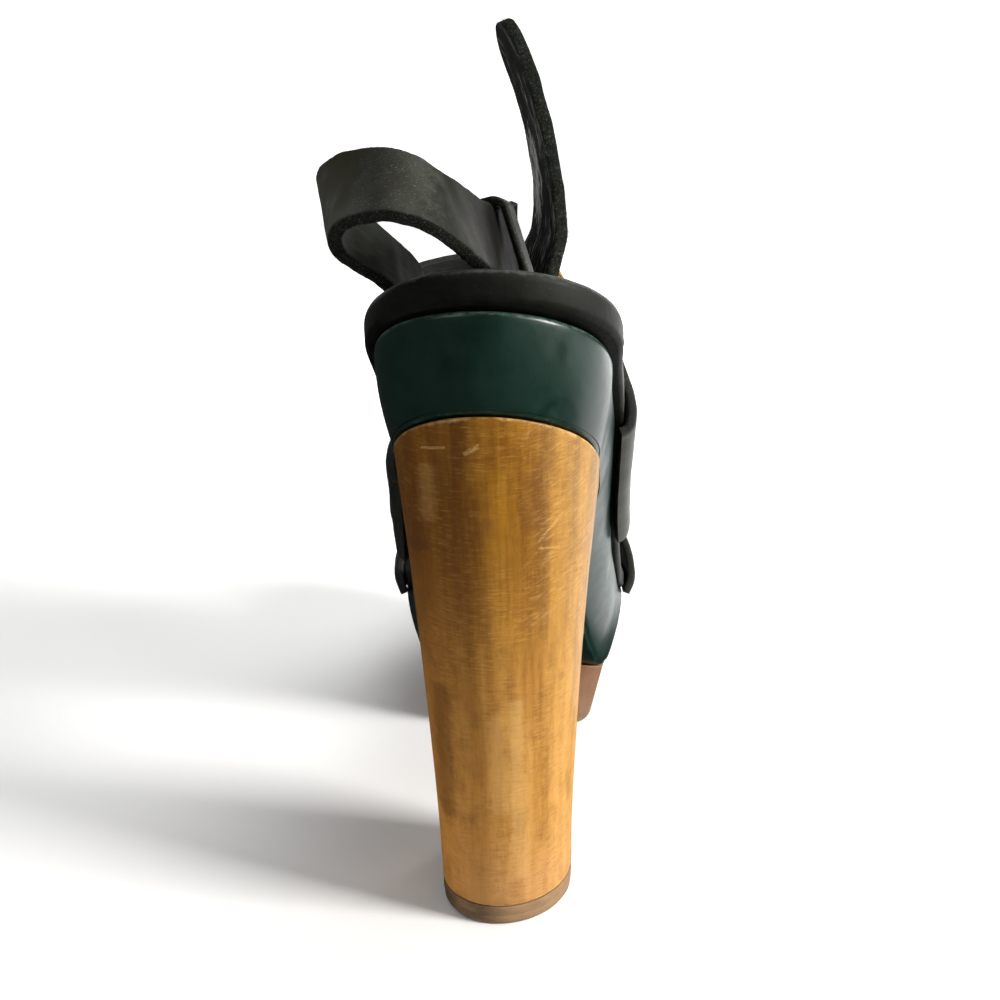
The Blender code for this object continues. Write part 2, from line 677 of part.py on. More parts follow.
def build_ankle_strap(prong_start, prong_end):
    """Ankle strap through the buckle, with the hole the prong passes."""
    along = buckle_axes()[0]
    passing = [(*buckle_point(0.0, up, out), *along) for up, out in PASS_ROWS]
    frames = strap_frames([*passing, *ANKLE_ROWS], 90)
    widths = rounded_widths(frames[0], STRAP_WIDTH, STRAP_TIP_ROUND, True, True)
    strap = strap_object("ankle_strap", frames, widths, STRAP_THICK, "black")
    path = [prong_start + (prong_end - prong_start) * t for t in (-0.1, 0.3, 0.8)]
    path.insert(1, path[0] * 0.5 + path[1] * 0.5 + buckle_axes()[2] * 0.001)
    cut(strap, rod_object("hole_cutter", path, PRONG_RADIUS + PRONG_CLEAR, "black", False, sides=12))


def clear_scene():
    """Remove whatever the scene starts with."""
    for item in list(bpy.data.objects):
        bpy.data.objects.remove(item)


def main():
    """Build every piece."""
    clear_scene()
    build_footbed()
    build_midsole()
    build_heel()
    build_forefoot()
    build_band("vamp_band", VAMP_ROWS)
    build_band("toe_band", TOE_ROWS)
    build_sling()
    prong_line = build_buckle()
    build_tab()
    build_ankle_strap(*prong_line)


main()
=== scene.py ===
"""Looks of a platform sandal for the right foot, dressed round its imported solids.

Sizes are in millimetres in the shoe's own frame and become metres where a mesh is made. +X is the outer side
of the foot, +Y points to the toe and +Z is up. The origin is the middle of the heel tip's ground face.
"""
from __future__ import annotations

import logging
import math
from dataclasses import dataclass, field, replace
from enum import Enum
from typing import Callable, Sequence

import bmesh
import bpy
import numpy as np
from mathutils import Matrix, Vector

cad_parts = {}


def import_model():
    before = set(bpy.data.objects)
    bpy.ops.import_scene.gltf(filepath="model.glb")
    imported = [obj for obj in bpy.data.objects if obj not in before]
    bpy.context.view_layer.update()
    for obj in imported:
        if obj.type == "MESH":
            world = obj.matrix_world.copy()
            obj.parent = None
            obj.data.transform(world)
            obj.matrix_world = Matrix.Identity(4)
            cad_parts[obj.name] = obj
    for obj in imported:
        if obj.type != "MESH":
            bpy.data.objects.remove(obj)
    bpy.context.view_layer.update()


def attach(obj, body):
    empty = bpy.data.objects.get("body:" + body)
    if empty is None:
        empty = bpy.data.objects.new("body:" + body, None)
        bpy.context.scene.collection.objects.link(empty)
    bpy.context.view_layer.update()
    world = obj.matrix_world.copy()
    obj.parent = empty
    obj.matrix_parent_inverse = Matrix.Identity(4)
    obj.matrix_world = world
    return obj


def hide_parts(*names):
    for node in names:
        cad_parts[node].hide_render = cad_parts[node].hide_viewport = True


Array = np.ndarray
Colour = tuple[float, float, float]
Point = tuple[float, float, float]
Socket = bpy.types.NodeSocket
Outputs = bpy.types.NodeOutputs
Node = bpy.types.Node
NodeTree = bpy.types.NodeTree
Material = bpy.types.Material
Piece = bpy.types.Object
RowShape = Callable[[Array], Array]

LOG = logging.getLogger("sandal")
BODY = "root"
MM = 0.001
PER_METRE = 1000.0
GAP = 0.3
SHARP_ANGLE = 50.0
STRAP_WIDTH = 16.5
STRAP_THICK = 3.2
STRAP_TIP_RADIUS = 8.2


class Side(Enum):
    """Side of the foot."""

    OUTER = 1
    INNER = -1


class Face(Enum):
    """Which face of a piece of leather is its rough flesh side."""

    UNDER = -1
    UPPER = 1


class Tint(Enum):
    """Whether a mark on the wood is paler or darker than the wood."""

    PALE = "pale"
    DARK = "dark"


# Sole line, heel to toe: place along the shoe, height of the footbed's upper face, middle and half width
SOLE_COLUMNS = ("y", "top", "centre", "half")
SOLE_ROWS = (
    (-28.0, 161.0, 0.0, 29.3),
    (-8.0, 151.0, 0.0, 29.3),
    (11.0, 139.5, -0.2, 29.3),
    (27.0, 126.7, 0.4, 29.8),
    (40.0, 113.2, 0.0, 30.0),
    (52.0, 98.7, -0.8, 30.5),
    (64.0, 83.2, -1.3, 31.4),
    (80.0, 64.9, -1.6, 33.0),
    (92.0, 54.0, -2.1, 34.5),
    (103.0, 47.3, -3.0, 36.6),
    (116.0, 44.0, -4.2, 37.8),
    (150.0, 44.0, -7.0, 34.5),
    (178.0, 47.5, -12.0, 30.0),
)

# Midsole: height of its underside, how far its wall stands inside the footbed's edge and tucks in below
UNDERSIDE_COLUMNS = ("y", "z", "inset", "tuck")
UNDERSIDE_ROWS = (
    (-30.0, 134.6, 2.4, 3.0),
    (0.0, 116.4, 2.4, 3.0),
    (24.0, 99.0, 2.4, 4.0),
    (40.0, 80.0, 2.3, 7.5),
    (56.0, 57.0, 2.1, 8.5),
    (70.0, 36.0, 1.7, 7.5),
    (80.0, 23.5, 1.3, 5.5),
    (89.0, 18.8, 1.0, 4.8),
    (150.0, 18.8, 0.8, 4.8),
    (180.0, 25.0, 0.8, 4.8),
)

# Last over the foot: station on the sole line, forward lean of the section and height of the instep
LAST_COLUMNS = ("y", "lean", "height")
LAST_ROWS = (
    (28.0, 39.0, 78.0),
    (50.0, 45.0, 70.0),
    (78.0, 43.0, 54.0),
    (106.0, 32.0, 41.0),
    (134.0, 14.0, 30.0),
)

# Bands: stations of the rear and of the front edge at the outer base, over the instep and at the inner base
VAMP_ROWS = ((34.0, 50.0, 49.0), (68.5, 77.0, 76.0))
TOE_ROWS = ((105.5, 107.0, 103.0), (134.0, 133.0, 136.0))

# Side of a band from the sole upwards: distance outside the footbed's edge and height above its upper face
BAND_SIDE_ROWS = (
    (-1.9, -8.7),
    (1.0, -8.0),
    (2.2, -4.2),
    (2.0, 0.8),
    (0.2, 7.5),
)

# Straps: middle line, then the direction across the strap from lower to upper edge
SLING_ROWS = (
    (-28.1, 70.0, 97.8, 0.10, 0.70, 0.70),
    (-27.5, 62.0, 107.0, 0.10, 0.70, 0.70),
    (-26.8, 52.5, 116.5, 0.10, 0.70, 0.70),
    (-26.0, 44.0, 126.0, 0.10, 0.72, 0.69),
    (-24.5, 35.0, 135.5, 0.12, 0.74, 0.66),
    (-22.0, 25.0, 144.0, 0.12, 0.80, 0.58),
    (-20.9, 16.0, 151.3, 0.08, 0.92, 0.38),
    (-23.6, 10.8, 156.9, 0.02, 0.95, 0.28),
    (-28.6, 7.4, 161.9, 0.08, 0.86, 0.51),
    (-33.2, 2.4, 166.5, -0.12, 0.64, 0.76),
    (-34.1, -5.7, 170.6, -0.28, 0.53, 0.80),
    (-30.2, -13.0, 174.1, -0.20, 0.70, 0.68),
    (-23.8, -19.1, 176.0, -0.15, 0.75, 0.64),
    (-17.5, -23.4, 175.9, -0.15, 0.76, 0.63),
    (-12.2, -24.4, 174.7, -0.15, 0.76, 0.63),
    (-7.2, -21.3, 171.3, -0.14, 0.72, 0.68),
    (-3.4, -14.2, 167.2, -0.13, 0.68, 0.72),
    (-0.6, -5.1, 163.7, -0.11, 0.58, 0.81),
    (2.1, 5.3, 161.4, -0.10, 0.47, 0.88),
    (3.4, 15.1, 161.7, -0.05, 0.25, 0.96),
    (2.9, 23.0, 161.4, 0.06, 0.05, 0.99),
    (1.9, 27.8, 161.0, 0.10, 0.00, 0.99),
    (0.8, 32.4, 160.2, 0.10, 0.00, 0.99),
)
ANKLE_ROWS = (
    (9.7, 29.5, 156.4, -0.46, 0.88, 0.10),
    (11.6, 32.0, 163.0, -0.38, 0.92, 0.04),
    (11.9, 33.3, 169.0, -0.33, 0.94, 0.00),
    (11.0, 35.0, 177.5, -0.28, 0.96, -0.04),
    (8.8, 37.0, 189.0, -0.26, 0.96, -0.06),
    (5.4, 39.0, 200.0, -0.25, 0.97, -0.08),
    (1.0, 40.6, 210.5, -0.25, 0.97, -0.10),
)
TAB_ROWS = (
    (25.2, 45.0, 124.0, -0.35, 0.88, 0.32),
    (26.5, 49.5, 117.5, -0.24, 0.86, 0.45),
    (26.5, 55.0, 111.5, -0.20, 0.78, 0.59),
    (26.4, 60.0, 106.0, -0.18, 0.75, 0.63),
)

# Spread of the smoothing along the sling strap, of its middle line and of its direction across
SLING_SOFTEN = (4.0, 9.0)

# How the ankle strap and the tab pass the buckle: distance up from its lower bar and distance outwards
PASS_ROWS = (
    (-12.0, 5.0),
    (-5.0, 5.5),
    (0.0, 5.8),
    (3.4, 4.9),
    (6.9, 1.9),
    (10.3, -1.4),
    (13.5, -3.7),
    (17.5, -4.4),
)
TAB_INNER_ROWS = ((-11.0, -1.3), (-6.5, -1.3))
TAB_OUTER_ROWS = ((-6.5, 1.3), (-11.0, 1.3))

# Painted light and shade along the sling strap, lighter on one stretch and darker towards the keeper: where
# each starts and is full, its colour and its strength
SLING_PAINTED_LIGHT_AND_SHADE = (
    (130.0, 124.0, (0.0265, 0.0252, 0.0140), 0.90),
    (103.0, 90.0, (0.0150, 0.0146, 0.0102), 0.92),
    (140.0, 147.0, (0.0072, 0.0070, 0.0047), 0.94),
    (156.0, 159.5, (0.0040, 0.0036, 0.0026), 0.85),
    (170.0, 174.0, (0.0014, 0.0014, 0.0011), 0.92),
)

# Marks on the heel's back: tint, start and end across the shoe and up from the floor, half width and strength
HEEL_MARKS = (
    (Tint.PALE, -14.8, 121.6, -9.6, 122.3, 0.20, 0.42),
    (Tint.PALE, -5.0, 121.2, -2.4, 122.8, 0.36, 0.38),
    (Tint.DARK, -11.7, 119.0, 1.7, 120.3, 0.13, 0.65),
    # Wide pale patch on the inner side: a painted sheen
    (Tint.PALE, -14.0, 116.0, -14.2, 106.5, 0.90, 0.09),
    (Tint.DARK, -19.0, 97.3, -16.4, 98.6, 0.75, 0.60),
    (Tint.DARK, -17.1, 101.3, -16.8, 101.8, 0.75, 0.40),
    (Tint.DARK, 8.4, 114.0, 8.6, 104.5, 0.80, 0.42),
    (Tint.DARK, 8.7, 125.0, 8.0, 118.3, 0.20, 0.55),
    (Tint.DARK, 2.6, 124.0, 2.2, 112.0, 0.16, 0.40),
    (Tint.PALE, 10.2, 100.1, 15.1, 105.1, 0.20, 0.26),
    (Tint.PALE, 10.2, 98.3, 14.3, 97.3, 0.20, 0.26),
    (Tint.DARK, -13.4, 62.0, -13.2, 30.0, 1.10, 0.50),
    (Tint.PALE, -0.3, 57.0, -0.1, 33.0, 0.75, 0.14),
    (Tint.PALE, 4.3, 60.0, 4.6, 14.0, 0.75, 0.18),
    (Tint.DARK, -6.0, 84.0, 4.0, 84.6, 0.12, 0.35),
)

# Marks with a half width over this are soft stains and painted sheen rather than scratches
WIDE_MARK = 0.7

# Paper of the floor and round the studio: distance from the middle and height of each ring, in metres
FLOOR_RINGS = ((0.4, 0.0), (1.2, 0.0), (2.6, 0.0))
SURROUND_RINGS = ((0.8, 4.0), (2.4, 3.4), (3.4, 2.0), (3.4, 0.8), (2.5, -0.01))


def unit(vectors: Array) -> Array:
    """Vectors made one long along their last axis."""
    return vectors / np.linalg.norm(vectors, axis=-1, keepdims=True)


def lengths_along(points: Array) -> Array:
    """Distance of each point from the first along a path."""
    return np.concatenate([[0.0], np.cumsum(np.linalg.norm(np.diff(points, axis=0), axis=1))])


def smooth_curve(rows: Sequence[Sequence[float]], count: int) -> Array:
    """Points of a smooth curve through table rows.

    Args:
        rows: Table rows whose first three columns are a place.
        count: How many points to give.

    Returns:
        Evenly spaced points with every column of the table.
    """
    table = np.asarray(rows, dtype=float)
    knots = lengths_along(table[:, :3])
    slopes = np.gradient(table, knots, axis=0)
    places = np.linspace(0.0, knots[-1], count)
    index = np.clip(np.searchsorted(knots, places, side="right") - 1, 0, len(knots) - 2)
    span = (knots[index + 1] - knots[index])[:, None]
    t = (places - knots[index])[:, None] / span
    start, end = table[index], table[index + 1]
    leave, arrive = slopes[index] * span, slopes[index + 1] * span
    return ((2 * t**3 - 3 * t**2 + 1) * start + (t**3 - 2 * t**2 + t) * leave
            + (-2 * t**3 + 3 * t**2) * end + (t**3 - t**2) * arrive)


def softened(rows: Array, reach: float) -> Array:
    """Rows smoothed along their order, the first and last kept.

    Args:
        rows: Evenly spaced rows.
        reach: Spread of the smoothing, in rows.

    Returns:
        The smoothed rows.
    """
    wide = int(math.ceil(3 * reach))
    weights = np.exp(-0.5 * (np.arange(-wide, wide + 1) / reach) ** 2)
    before = 2 * rows[0] - rows[wide:0:-1]
    after = 2 * rows[-1] - rows[-2:-wide - 2:-1]
    padded = np.concatenate([before, rows, after])
    return np.stack([np.convolve(column, weights / weights.sum(), "valid") for column in padded.T], axis=1)


@dataclass
class Ripple:
    """Smooth unevenness made of many waves with a fixed seed."""

    size: float
    seed: int
    waves: int = 20
    height: float = 1.2

    def __post_init__(self) -> None:
        """Draw the waves."""
        draw = np.random.default_rng(self.seed)
        directions = unit(draw.normal(size=(self.waves, 3)))
        self.turns = directions * draw.uniform(0.7, 1.6, (self.waves, 1)) * 2 * math.pi / self.size
        self.phases = draw.uniform(0.0, 2 * math.pi, self.waves)

    def at(self, points: Array) -> Array:
        """Unevenness at points, mostly between -1 and 1."""
        waves = np.sin(points @ self.turns.T + self.phases)
        return waves.sum(axis=-1) / math.sqrt(2 * self.waves) * self.height


@dataclass
class Surface:
    """Points, faces and painted values of one closed piece, in millimetres."""

    points: Array
    faces: list[list[int]]
    paint: dict[str, Array] = field(default_factory=dict)


def make_mesh(name: str, surface: Surface, material: Material) -> Piece:
    """Mesh object at the origin, in metres, with outward faces and painted values.

    Args:
        name: Name of the piece.
        surface: Its points, faces and values.
        material: Its finish.

    Returns:
        The linked object.
    """
    mesh = bpy.data.meshes.new(name)
    mesh.from_pydata((np.asarray(surface.points) * MM).tolist(), [], surface.faces)
    for label, values in surface.paint.items():
        flat = np.ascontiguousarray(values, dtype=np.float32)
        kind = "FLOAT_VECTOR" if flat.ndim == 2 else "FLOAT"
        layer = mesh.attributes.new(label, kind, "POINT")
        layer.data.foreach_set("vector" if flat.ndim == 2 else "value", flat.ravel())
    work = bmesh.new()
    work.from_mesh(mesh)
    bmesh.ops.recalc_face_normals(work, faces=work.faces)
    work.to_mesh(mesh)
    work.free()
    mesh.shade_smooth()
    mesh.set_sharp_from_angle(angle=math.radians(SHARP_ANGLE))
    mesh.materials.append(material)
    piece = bpy.data.objects.new(name, mesh)
    bpy.context.scene.collection.objects.link(piece)
    return piece


def place_piece(piece: Piece, node: str | None = None) -> Piece:
    """Let a finished piece ride on the shoe, standing for a solid where it has one.

    Args:
        piece: The finished object.
        node: The solid that the piece stands for.

    Returns:
        The same object.
    """
    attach(piece, BODY)
    if node is not None:
        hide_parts(node)
    LOG.info("%s: %d faces", piece.name, len(piece.data.polygons))
    return piece


def ring_walls(count: int, rings: int, closed: bool = False) -> list[list[int]]:
    """Faces between stacked rings of equal count.

    Args:
        count: Points in each ring.
        rings: How many rings.
        closed: Whether the last ring joins the first.

    Returns:
        The faces.
    """
    faces = []
    for k in range(rings if closed else rings - 1):
        low, high = k * count, (k + 1) % rings * count
        faces += [[low + i, low + (i + 1) % count, high + (i + 1) % count, high + i] for i in range(count)]
    return faces


def bridge(ring: Array, first: int, start: int, columns: int, shape: RowShape | None) -> tuple[Array, list]:
    """Grid of faces across a ring whose two sides mirror one another in order.

    Args:
        ring: The ring's points, from one end point round to the last point before it.
        first: Number of the ring's first point.
        start: Number that the first new point gets.
        columns: New points in each row.
        shape: Gives the new points of a row their final place.

    Returns:
        The new points and the faces.
    """
    count = len(ring)
    half = count // 2
    share = np.linspace(0.0, 1.0, columns + 2)[1:-1][:, None]
    points, rows = [], []
    for j in range(1, half):
        begin = start + len(points)
        row = ring[j] + (ring[count - j] - ring[j]) * share
        points.extend(shape(row) if shape else row)
        rows.append([first + j, *range(begin, begin + columns), first + count - j])
    faces = [[near[k], near[k + 1], far[k + 1], far[k]]
             for near, far in zip(rows, rows[1:]) for k in range(columns + 1)]
    for tip, row in ((first, rows[0]), (first + half, rows[-1])):
        faces += [[tip, row[k], row[k + 1]] for k in range(columns + 1)]
    return np.array(points), faces


def stack_surface(rings: list[Array], nearness: Sequence[float], columns: int = 14,
                  dish: RowShape | None = None) -> Surface:
    """Closed surface through stacked rings, from the upper face to the lower one.

    Args:
        rings: Rings of equal count whose two sides mirror one another.
        nearness: How near each ring is to a rubbed edge.
        columns: Points across the upper and lower faces.
        dish: Shapes the rows of the upper face.

    Returns:
        The closed surface with its nearness painted.
    """
    count = len(rings[0])
    points = [np.concatenate(rings)]
    faces = ring_walls(count, len(rings))
    start = count * len(rings)
    for number, shape in ((0, dish), (len(rings) - 1, None)):
        extra, added = bridge(rings[number], number * count, start, columns, shape)
        points.append(extra)
        faces += added
        start += len(extra)
    paint = np.zeros(start)
    paint[: count * len(rings)] = np.repeat(nearness, count)
    return Surface(np.concatenate(points), faces, {"edge": paint})


def quarter_turn(count: int) -> Array:
    """Angles spread evenly over a quarter turn, in radians."""
    return np.linspace(0.0, math.pi / 2, count)


def closed_plan(places: Array, centre: Array, half: Array) -> Array:
    """Closed plan outline: rear point, outer side to the front point, inner side back."""
    outer, inner = (np.stack([centre + side.value * half, places], axis=1) for side in Side)
    return np.concatenate([outer, inner[-2:0:-1]])


def rounded_end(distance: Array, length: float, power: float) -> Array:
    """Share of the full width at a distance from the tip of a rounded end."""
    reach = np.clip((length - distance) / length, 0.0, 1.0)
    return (1 - reach**power) ** (1 / power)


def inset_outline(outline: Array, distance: Array | float) -> Array:
    """Outline moved inwards by a distance, or by one distance for each point."""
    along = np.roll(outline, -1, axis=0) - np.roll(outline, 1, axis=0)
    return outline + unit(along[:, ::-1] * (-1, 1)) * np.reshape(distance, (-1, 1))


def end_places(start: float, length: float, steps: int, towards: int) -> Array:
    """Places along a rounded end, close together where the outline turns."""
    return start + towards * length * (1 - np.cos(quarter_turn(steps + 1)))


@dataclass
class SoleLine:
    """Outline and heights of the sole from heel to toe."""

    heel_round: float = 33.0
    toe_round: float = 34.0
    heel_power: float = 2.0
    toe_power: float = 2.3
    footbed_thick: float = 6.5
    heel_turn: float = 0.10
    turn_end: float = 32.0
    end_steps: int = 36
    middle_steps: int = 110
    line_steps: int = 600
    last_steps: int = 300

    def __post_init__(self) -> None:
        """Work out the smooth lines."""
        self.sole = smooth_curve(SOLE_ROWS, self.line_steps)
        self.under = smooth_curve(UNDERSIDE_ROWS, self.line_steps)
        self.last = smooth_curve(LAST_ROWS, self.last_steps)
        self.heel_end = SOLE_ROWS[0][0]
        self.toe_end = SOLE_ROWS[-1][0]

    def value(self, y: Array | float, column: str) -> Array:
        """Value of a column of the sole table at a place along the shoe."""
        return np.interp(y, self.sole[:, 0], self.sole[:, SOLE_COLUMNS.index(column)])

    def below(self, y: Array | float, column: str) -> Array:
        """Value of a column of the underside table at a place along the shoe."""
        return np.interp(y, self.under[:, 0], self.under[:, UNDERSIDE_COLUMNS.index(column)])

    def instep(self, y: Array | float, column: str) -> Array:
        """Value of a column of the last table at a station."""
        return np.interp(y, self.last[:, 0], self.last[:, LAST_COLUMNS.index(column)])

    def slope(self, y: Array | float) -> Array:
        """Downward slope of the footbed, in radians."""
        return np.arctan2(self.value(y - 0.5, "top") - self.value(y + 0.5, "top"), 1.0)

    def half(self, y: Array | float) -> Array:
        """Half width of the footbed with its rounded heel and toe ends."""
        heel = rounded_end(y - self.heel_end, self.heel_round, self.heel_power)
        return self.value(y, "half") * heel * rounded_end(self.toe_end - y, self.toe_round, self.toe_power)

    def edge_x(self, y: Array | float, side: Side) -> Array:
        """Footbed's edge on one side of the foot."""
        return self.value(y, "centre") + side.value * self.half(y)

    def outline(self) -> Array:
        """Closed plan outline: heel point, outer side to the toe point, inner side back.

        Returns:
            Points in plan.
        """
        heel = end_places(self.heel_end, self.heel_round, self.end_steps, 1)
        toe = end_places(self.toe_end, self.toe_round, self.end_steps, -1)[::-1]
        middle = np.linspace(heel[-1], toe[0], self.middle_steps)[1:-1]
        places = np.concatenate([heel, middle, toe])
        return closed_plan(places, self.value(places, "centre"), self.half(places))

    def turned(self, plan: Array) -> Array:
        """Plan outline turned a little at the heel, its outer side further forward than its inner side.

        Args:
            plan: Points in plan.

        Returns:
            The turned points.
        """
        share = np.clip((self.turn_end - plan[:, 1]) / self.turn_end, 0.0, 1.0)
        forward = self.heel_turn * plan[:, 0] * share**2 * (3 - 2 * share)
        return np.column_stack([plan[:, 0], plan[:, 1] + forward])

    def beside(self, station: float, outside: float, rise: float, side: Side) -> Point:
        """Point beside the footbed.

        Args:
            station: Place on the sole line.
            outside: Distance outside the footbed's edge.
            rise: Height over the footbed's upper face, along the leaning section.
            side: Side of the foot.

        Returns:
            The point.
        """
        lean = math.radians(float(self.instep(station, "lean")))
        base = station + min(rise, 0.0) * math.sin(lean)
        x = float(self.edge_x(base, side)) + side.value * outside
        z = float(self.value(station, "top")) + rise * math.cos(lean)
        return x, station + rise * math.sin(lean), z


class Tree:
    """Short way to add and join the nodes of one tree."""

    def __init__(self, tree: NodeTree) -> None:
        """Keep the tree."""
        self.tree = tree

    def fill(self, node: Node, inputs: dict) -> None:
        """Set or link inputs of a node.

        Args:
            node: The node.
            inputs: Values or sockets for its inputs, by name or number.
        """
        for key, value in inputs.items():
            if isinstance(value, Socket):
                self.tree.links.new(value, node.inputs[key])
            else:
                node.inputs[key].default_value = value

    def add(self, kind: str, inputs: dict | None = None, **settings: object) -> Node:
        """New node with its settings and inputs.

        Args:
            kind: Type name of the node.
            inputs: Values or sockets for its inputs, by name or number.
            settings: Properties of the node.

        Returns:
            The node.
        """
        node = self.tree.nodes.new(kind)
        for label, value in settings.items():
            setattr(node, label, value)
        self.fill(node, inputs or {})
        return node

    def math(self, operation: str, a: object, b: object, clamp: bool = False) -> Socket:
        """Result of a calculation with two values."""
        return self.add("ShaderNodeMath", {0: a, 1: b}, operation=operation, use_clamp=clamp).outputs[0]

    def plus(self, a: object, b: object) -> Socket:
        """Sum of two values."""
        return self.math("ADD", a, b)

    def less(self, a: object, b: object) -> Socket:
        """One value less another."""
        return self.math("SUBTRACT", a, b)

    def times(self, a: object, b: object) -> Socket:
        """Product of two values."""
        return self.math("MULTIPLY", a, b)

    def vector(self, operation: str, a: object, b: object) -> Socket:
        """Result of a calculation with two vectors."""
        return self.add("ShaderNodeVectorMath", {0: a, 1: b}, operation=operation).outputs[0]

    def stretched(self, a: object, scales: object) -> Socket:
        """A vector times another, axis by axis."""
        return self.vector("MULTIPLY", a, scales)

    def scaled(self, a: object, scale: object) -> Socket:
        """A vector times a number."""
        return self.add("ShaderNodeVectorMath", {0: a, "Scale": scale}, operation="SCALE").outputs[0]

    def dot(self, a: object, b: object) -> Socket:
        """Dot product of two vectors."""
        return self.add("ShaderNodeVectorMath", {0: a, 1: b}, operation="DOT_PRODUCT").outputs["Value"]

    def length(self, a: object) -> Socket:
        """Length of a vector."""
        return self.add("ShaderNodeVectorMath", {0: a}, operation="LENGTH").outputs["Value"]

    def axes(self, a: object) -> Outputs:
        """Values of a vector by the names of its axes."""
        return self.add("ShaderNodeSeparateXYZ", {0: a}).outputs

    def joined(self, x: object, y: object, z: object) -> Socket:
        """Vector made of three values."""
        return self.add("ShaderNodeCombineXYZ", {0: x, 1: y, 2: z}).outputs[0]

    def place(self) -> Socket:
        """Place in the shoe's own frame, in metres."""
        return self.add("ShaderNodeTexCoord").outputs["Object"]

    def painted(self, label: str, output: str = "Fac") -> Socket:
        """Values painted on the piece's points."""
        node = self.add("ShaderNodeAttribute", attribute_name=label, attribute_type="GEOMETRY")
        return node.outputs[output]

    def noise(self, place: Socket, scale: float, detail: float = 2.0, roughness: float = 0.5) -> Socket:
        """Noise value at a place."""
        inputs = {"Vector": place, "Scale": scale, "Detail": detail, "Roughness": roughness}
        return self.add("ShaderNodeTexNoise", inputs).outputs[0]

    def step(self, value: object, low: object, high: object, to_low: float = 0.0,
             to_high: float = 1.0) -> Socket:
        """Smooth step of a value from one number to another."""
        inputs = {"Value": value, "From Min": low, "From Max": high, "To Min": to_low, "To Max": to_high}
        return self.add("ShaderNodeMapRange", inputs, interpolation_type="SMOOTHSTEP").outputs[0]

    def between(self, factor: object, a: object, b: object) -> Socket:
        """Mix of two values."""
        return self.add("ShaderNodeMix", {0: factor, 2: a, 3: b}, data_type="FLOAT").outputs[0]

    def mix(self, factor: object, a: object, b: object) -> Socket:
        """Mix of two colours."""
        first, second = (value if isinstance(value, Socket) else (*value, 1.0) for value in (a, b))
        return self.add("ShaderNodeMix", {0: factor, 6: first, 7: second}, data_type="RGBA").outputs[2]

    def over(self, base: Socket, colour: Colour, mask: Socket, strength: float) -> Socket:
        """A colour laid over another where a mask is, at a strength."""
        return self.mix(self.times(mask, strength), base, colour)

    def bump(self, height: Socket, strength: float, distance: float) -> Socket:
        """Normal of a surface with a fine relief."""
        inputs = {"Height": height, "Strength": strength, "Distance": distance}
        return self.add("ShaderNodeBump", inputs).outputs[0]

    def group(self, tree: NodeTree, inputs: dict) -> Outputs:
        """Outputs of one use of a shared node group."""
        return self.add("ShaderNodeGroup", inputs, node_tree=tree).outputs


def new_group(name: str, vectors: Sequence[str], values: Sequence[str],
              outputs: Sequence[str]) -> tuple[Tree, Outputs, Node]:
    """Empty shader node group.

    Args:
        name: Name of the group.
        vectors: Names of its vector inputs.
        values: Names of its number inputs.
        outputs: Names of its number outputs.

    Returns:
        The tree, the sockets of its inputs and the node of its outputs.
    """
    group = bpy.data.node_groups.new(name, "ShaderNodeTree")
    sockets = [(label, "INPUT", "NodeSocketVector") for label in vectors]
    sockets += [(label, "INPUT", "NodeSocketFloat") for label in values]
    sockets += [(label, "OUTPUT", "NodeSocketFloat") for label in outputs]
    for label, way, kind in sockets:
        group.interface.new_socket(label, in_out=way, socket_type=kind)
    tree = Tree(group)
    return tree, tree.add("NodeGroupInput").outputs, tree.add("NodeGroupOutput")


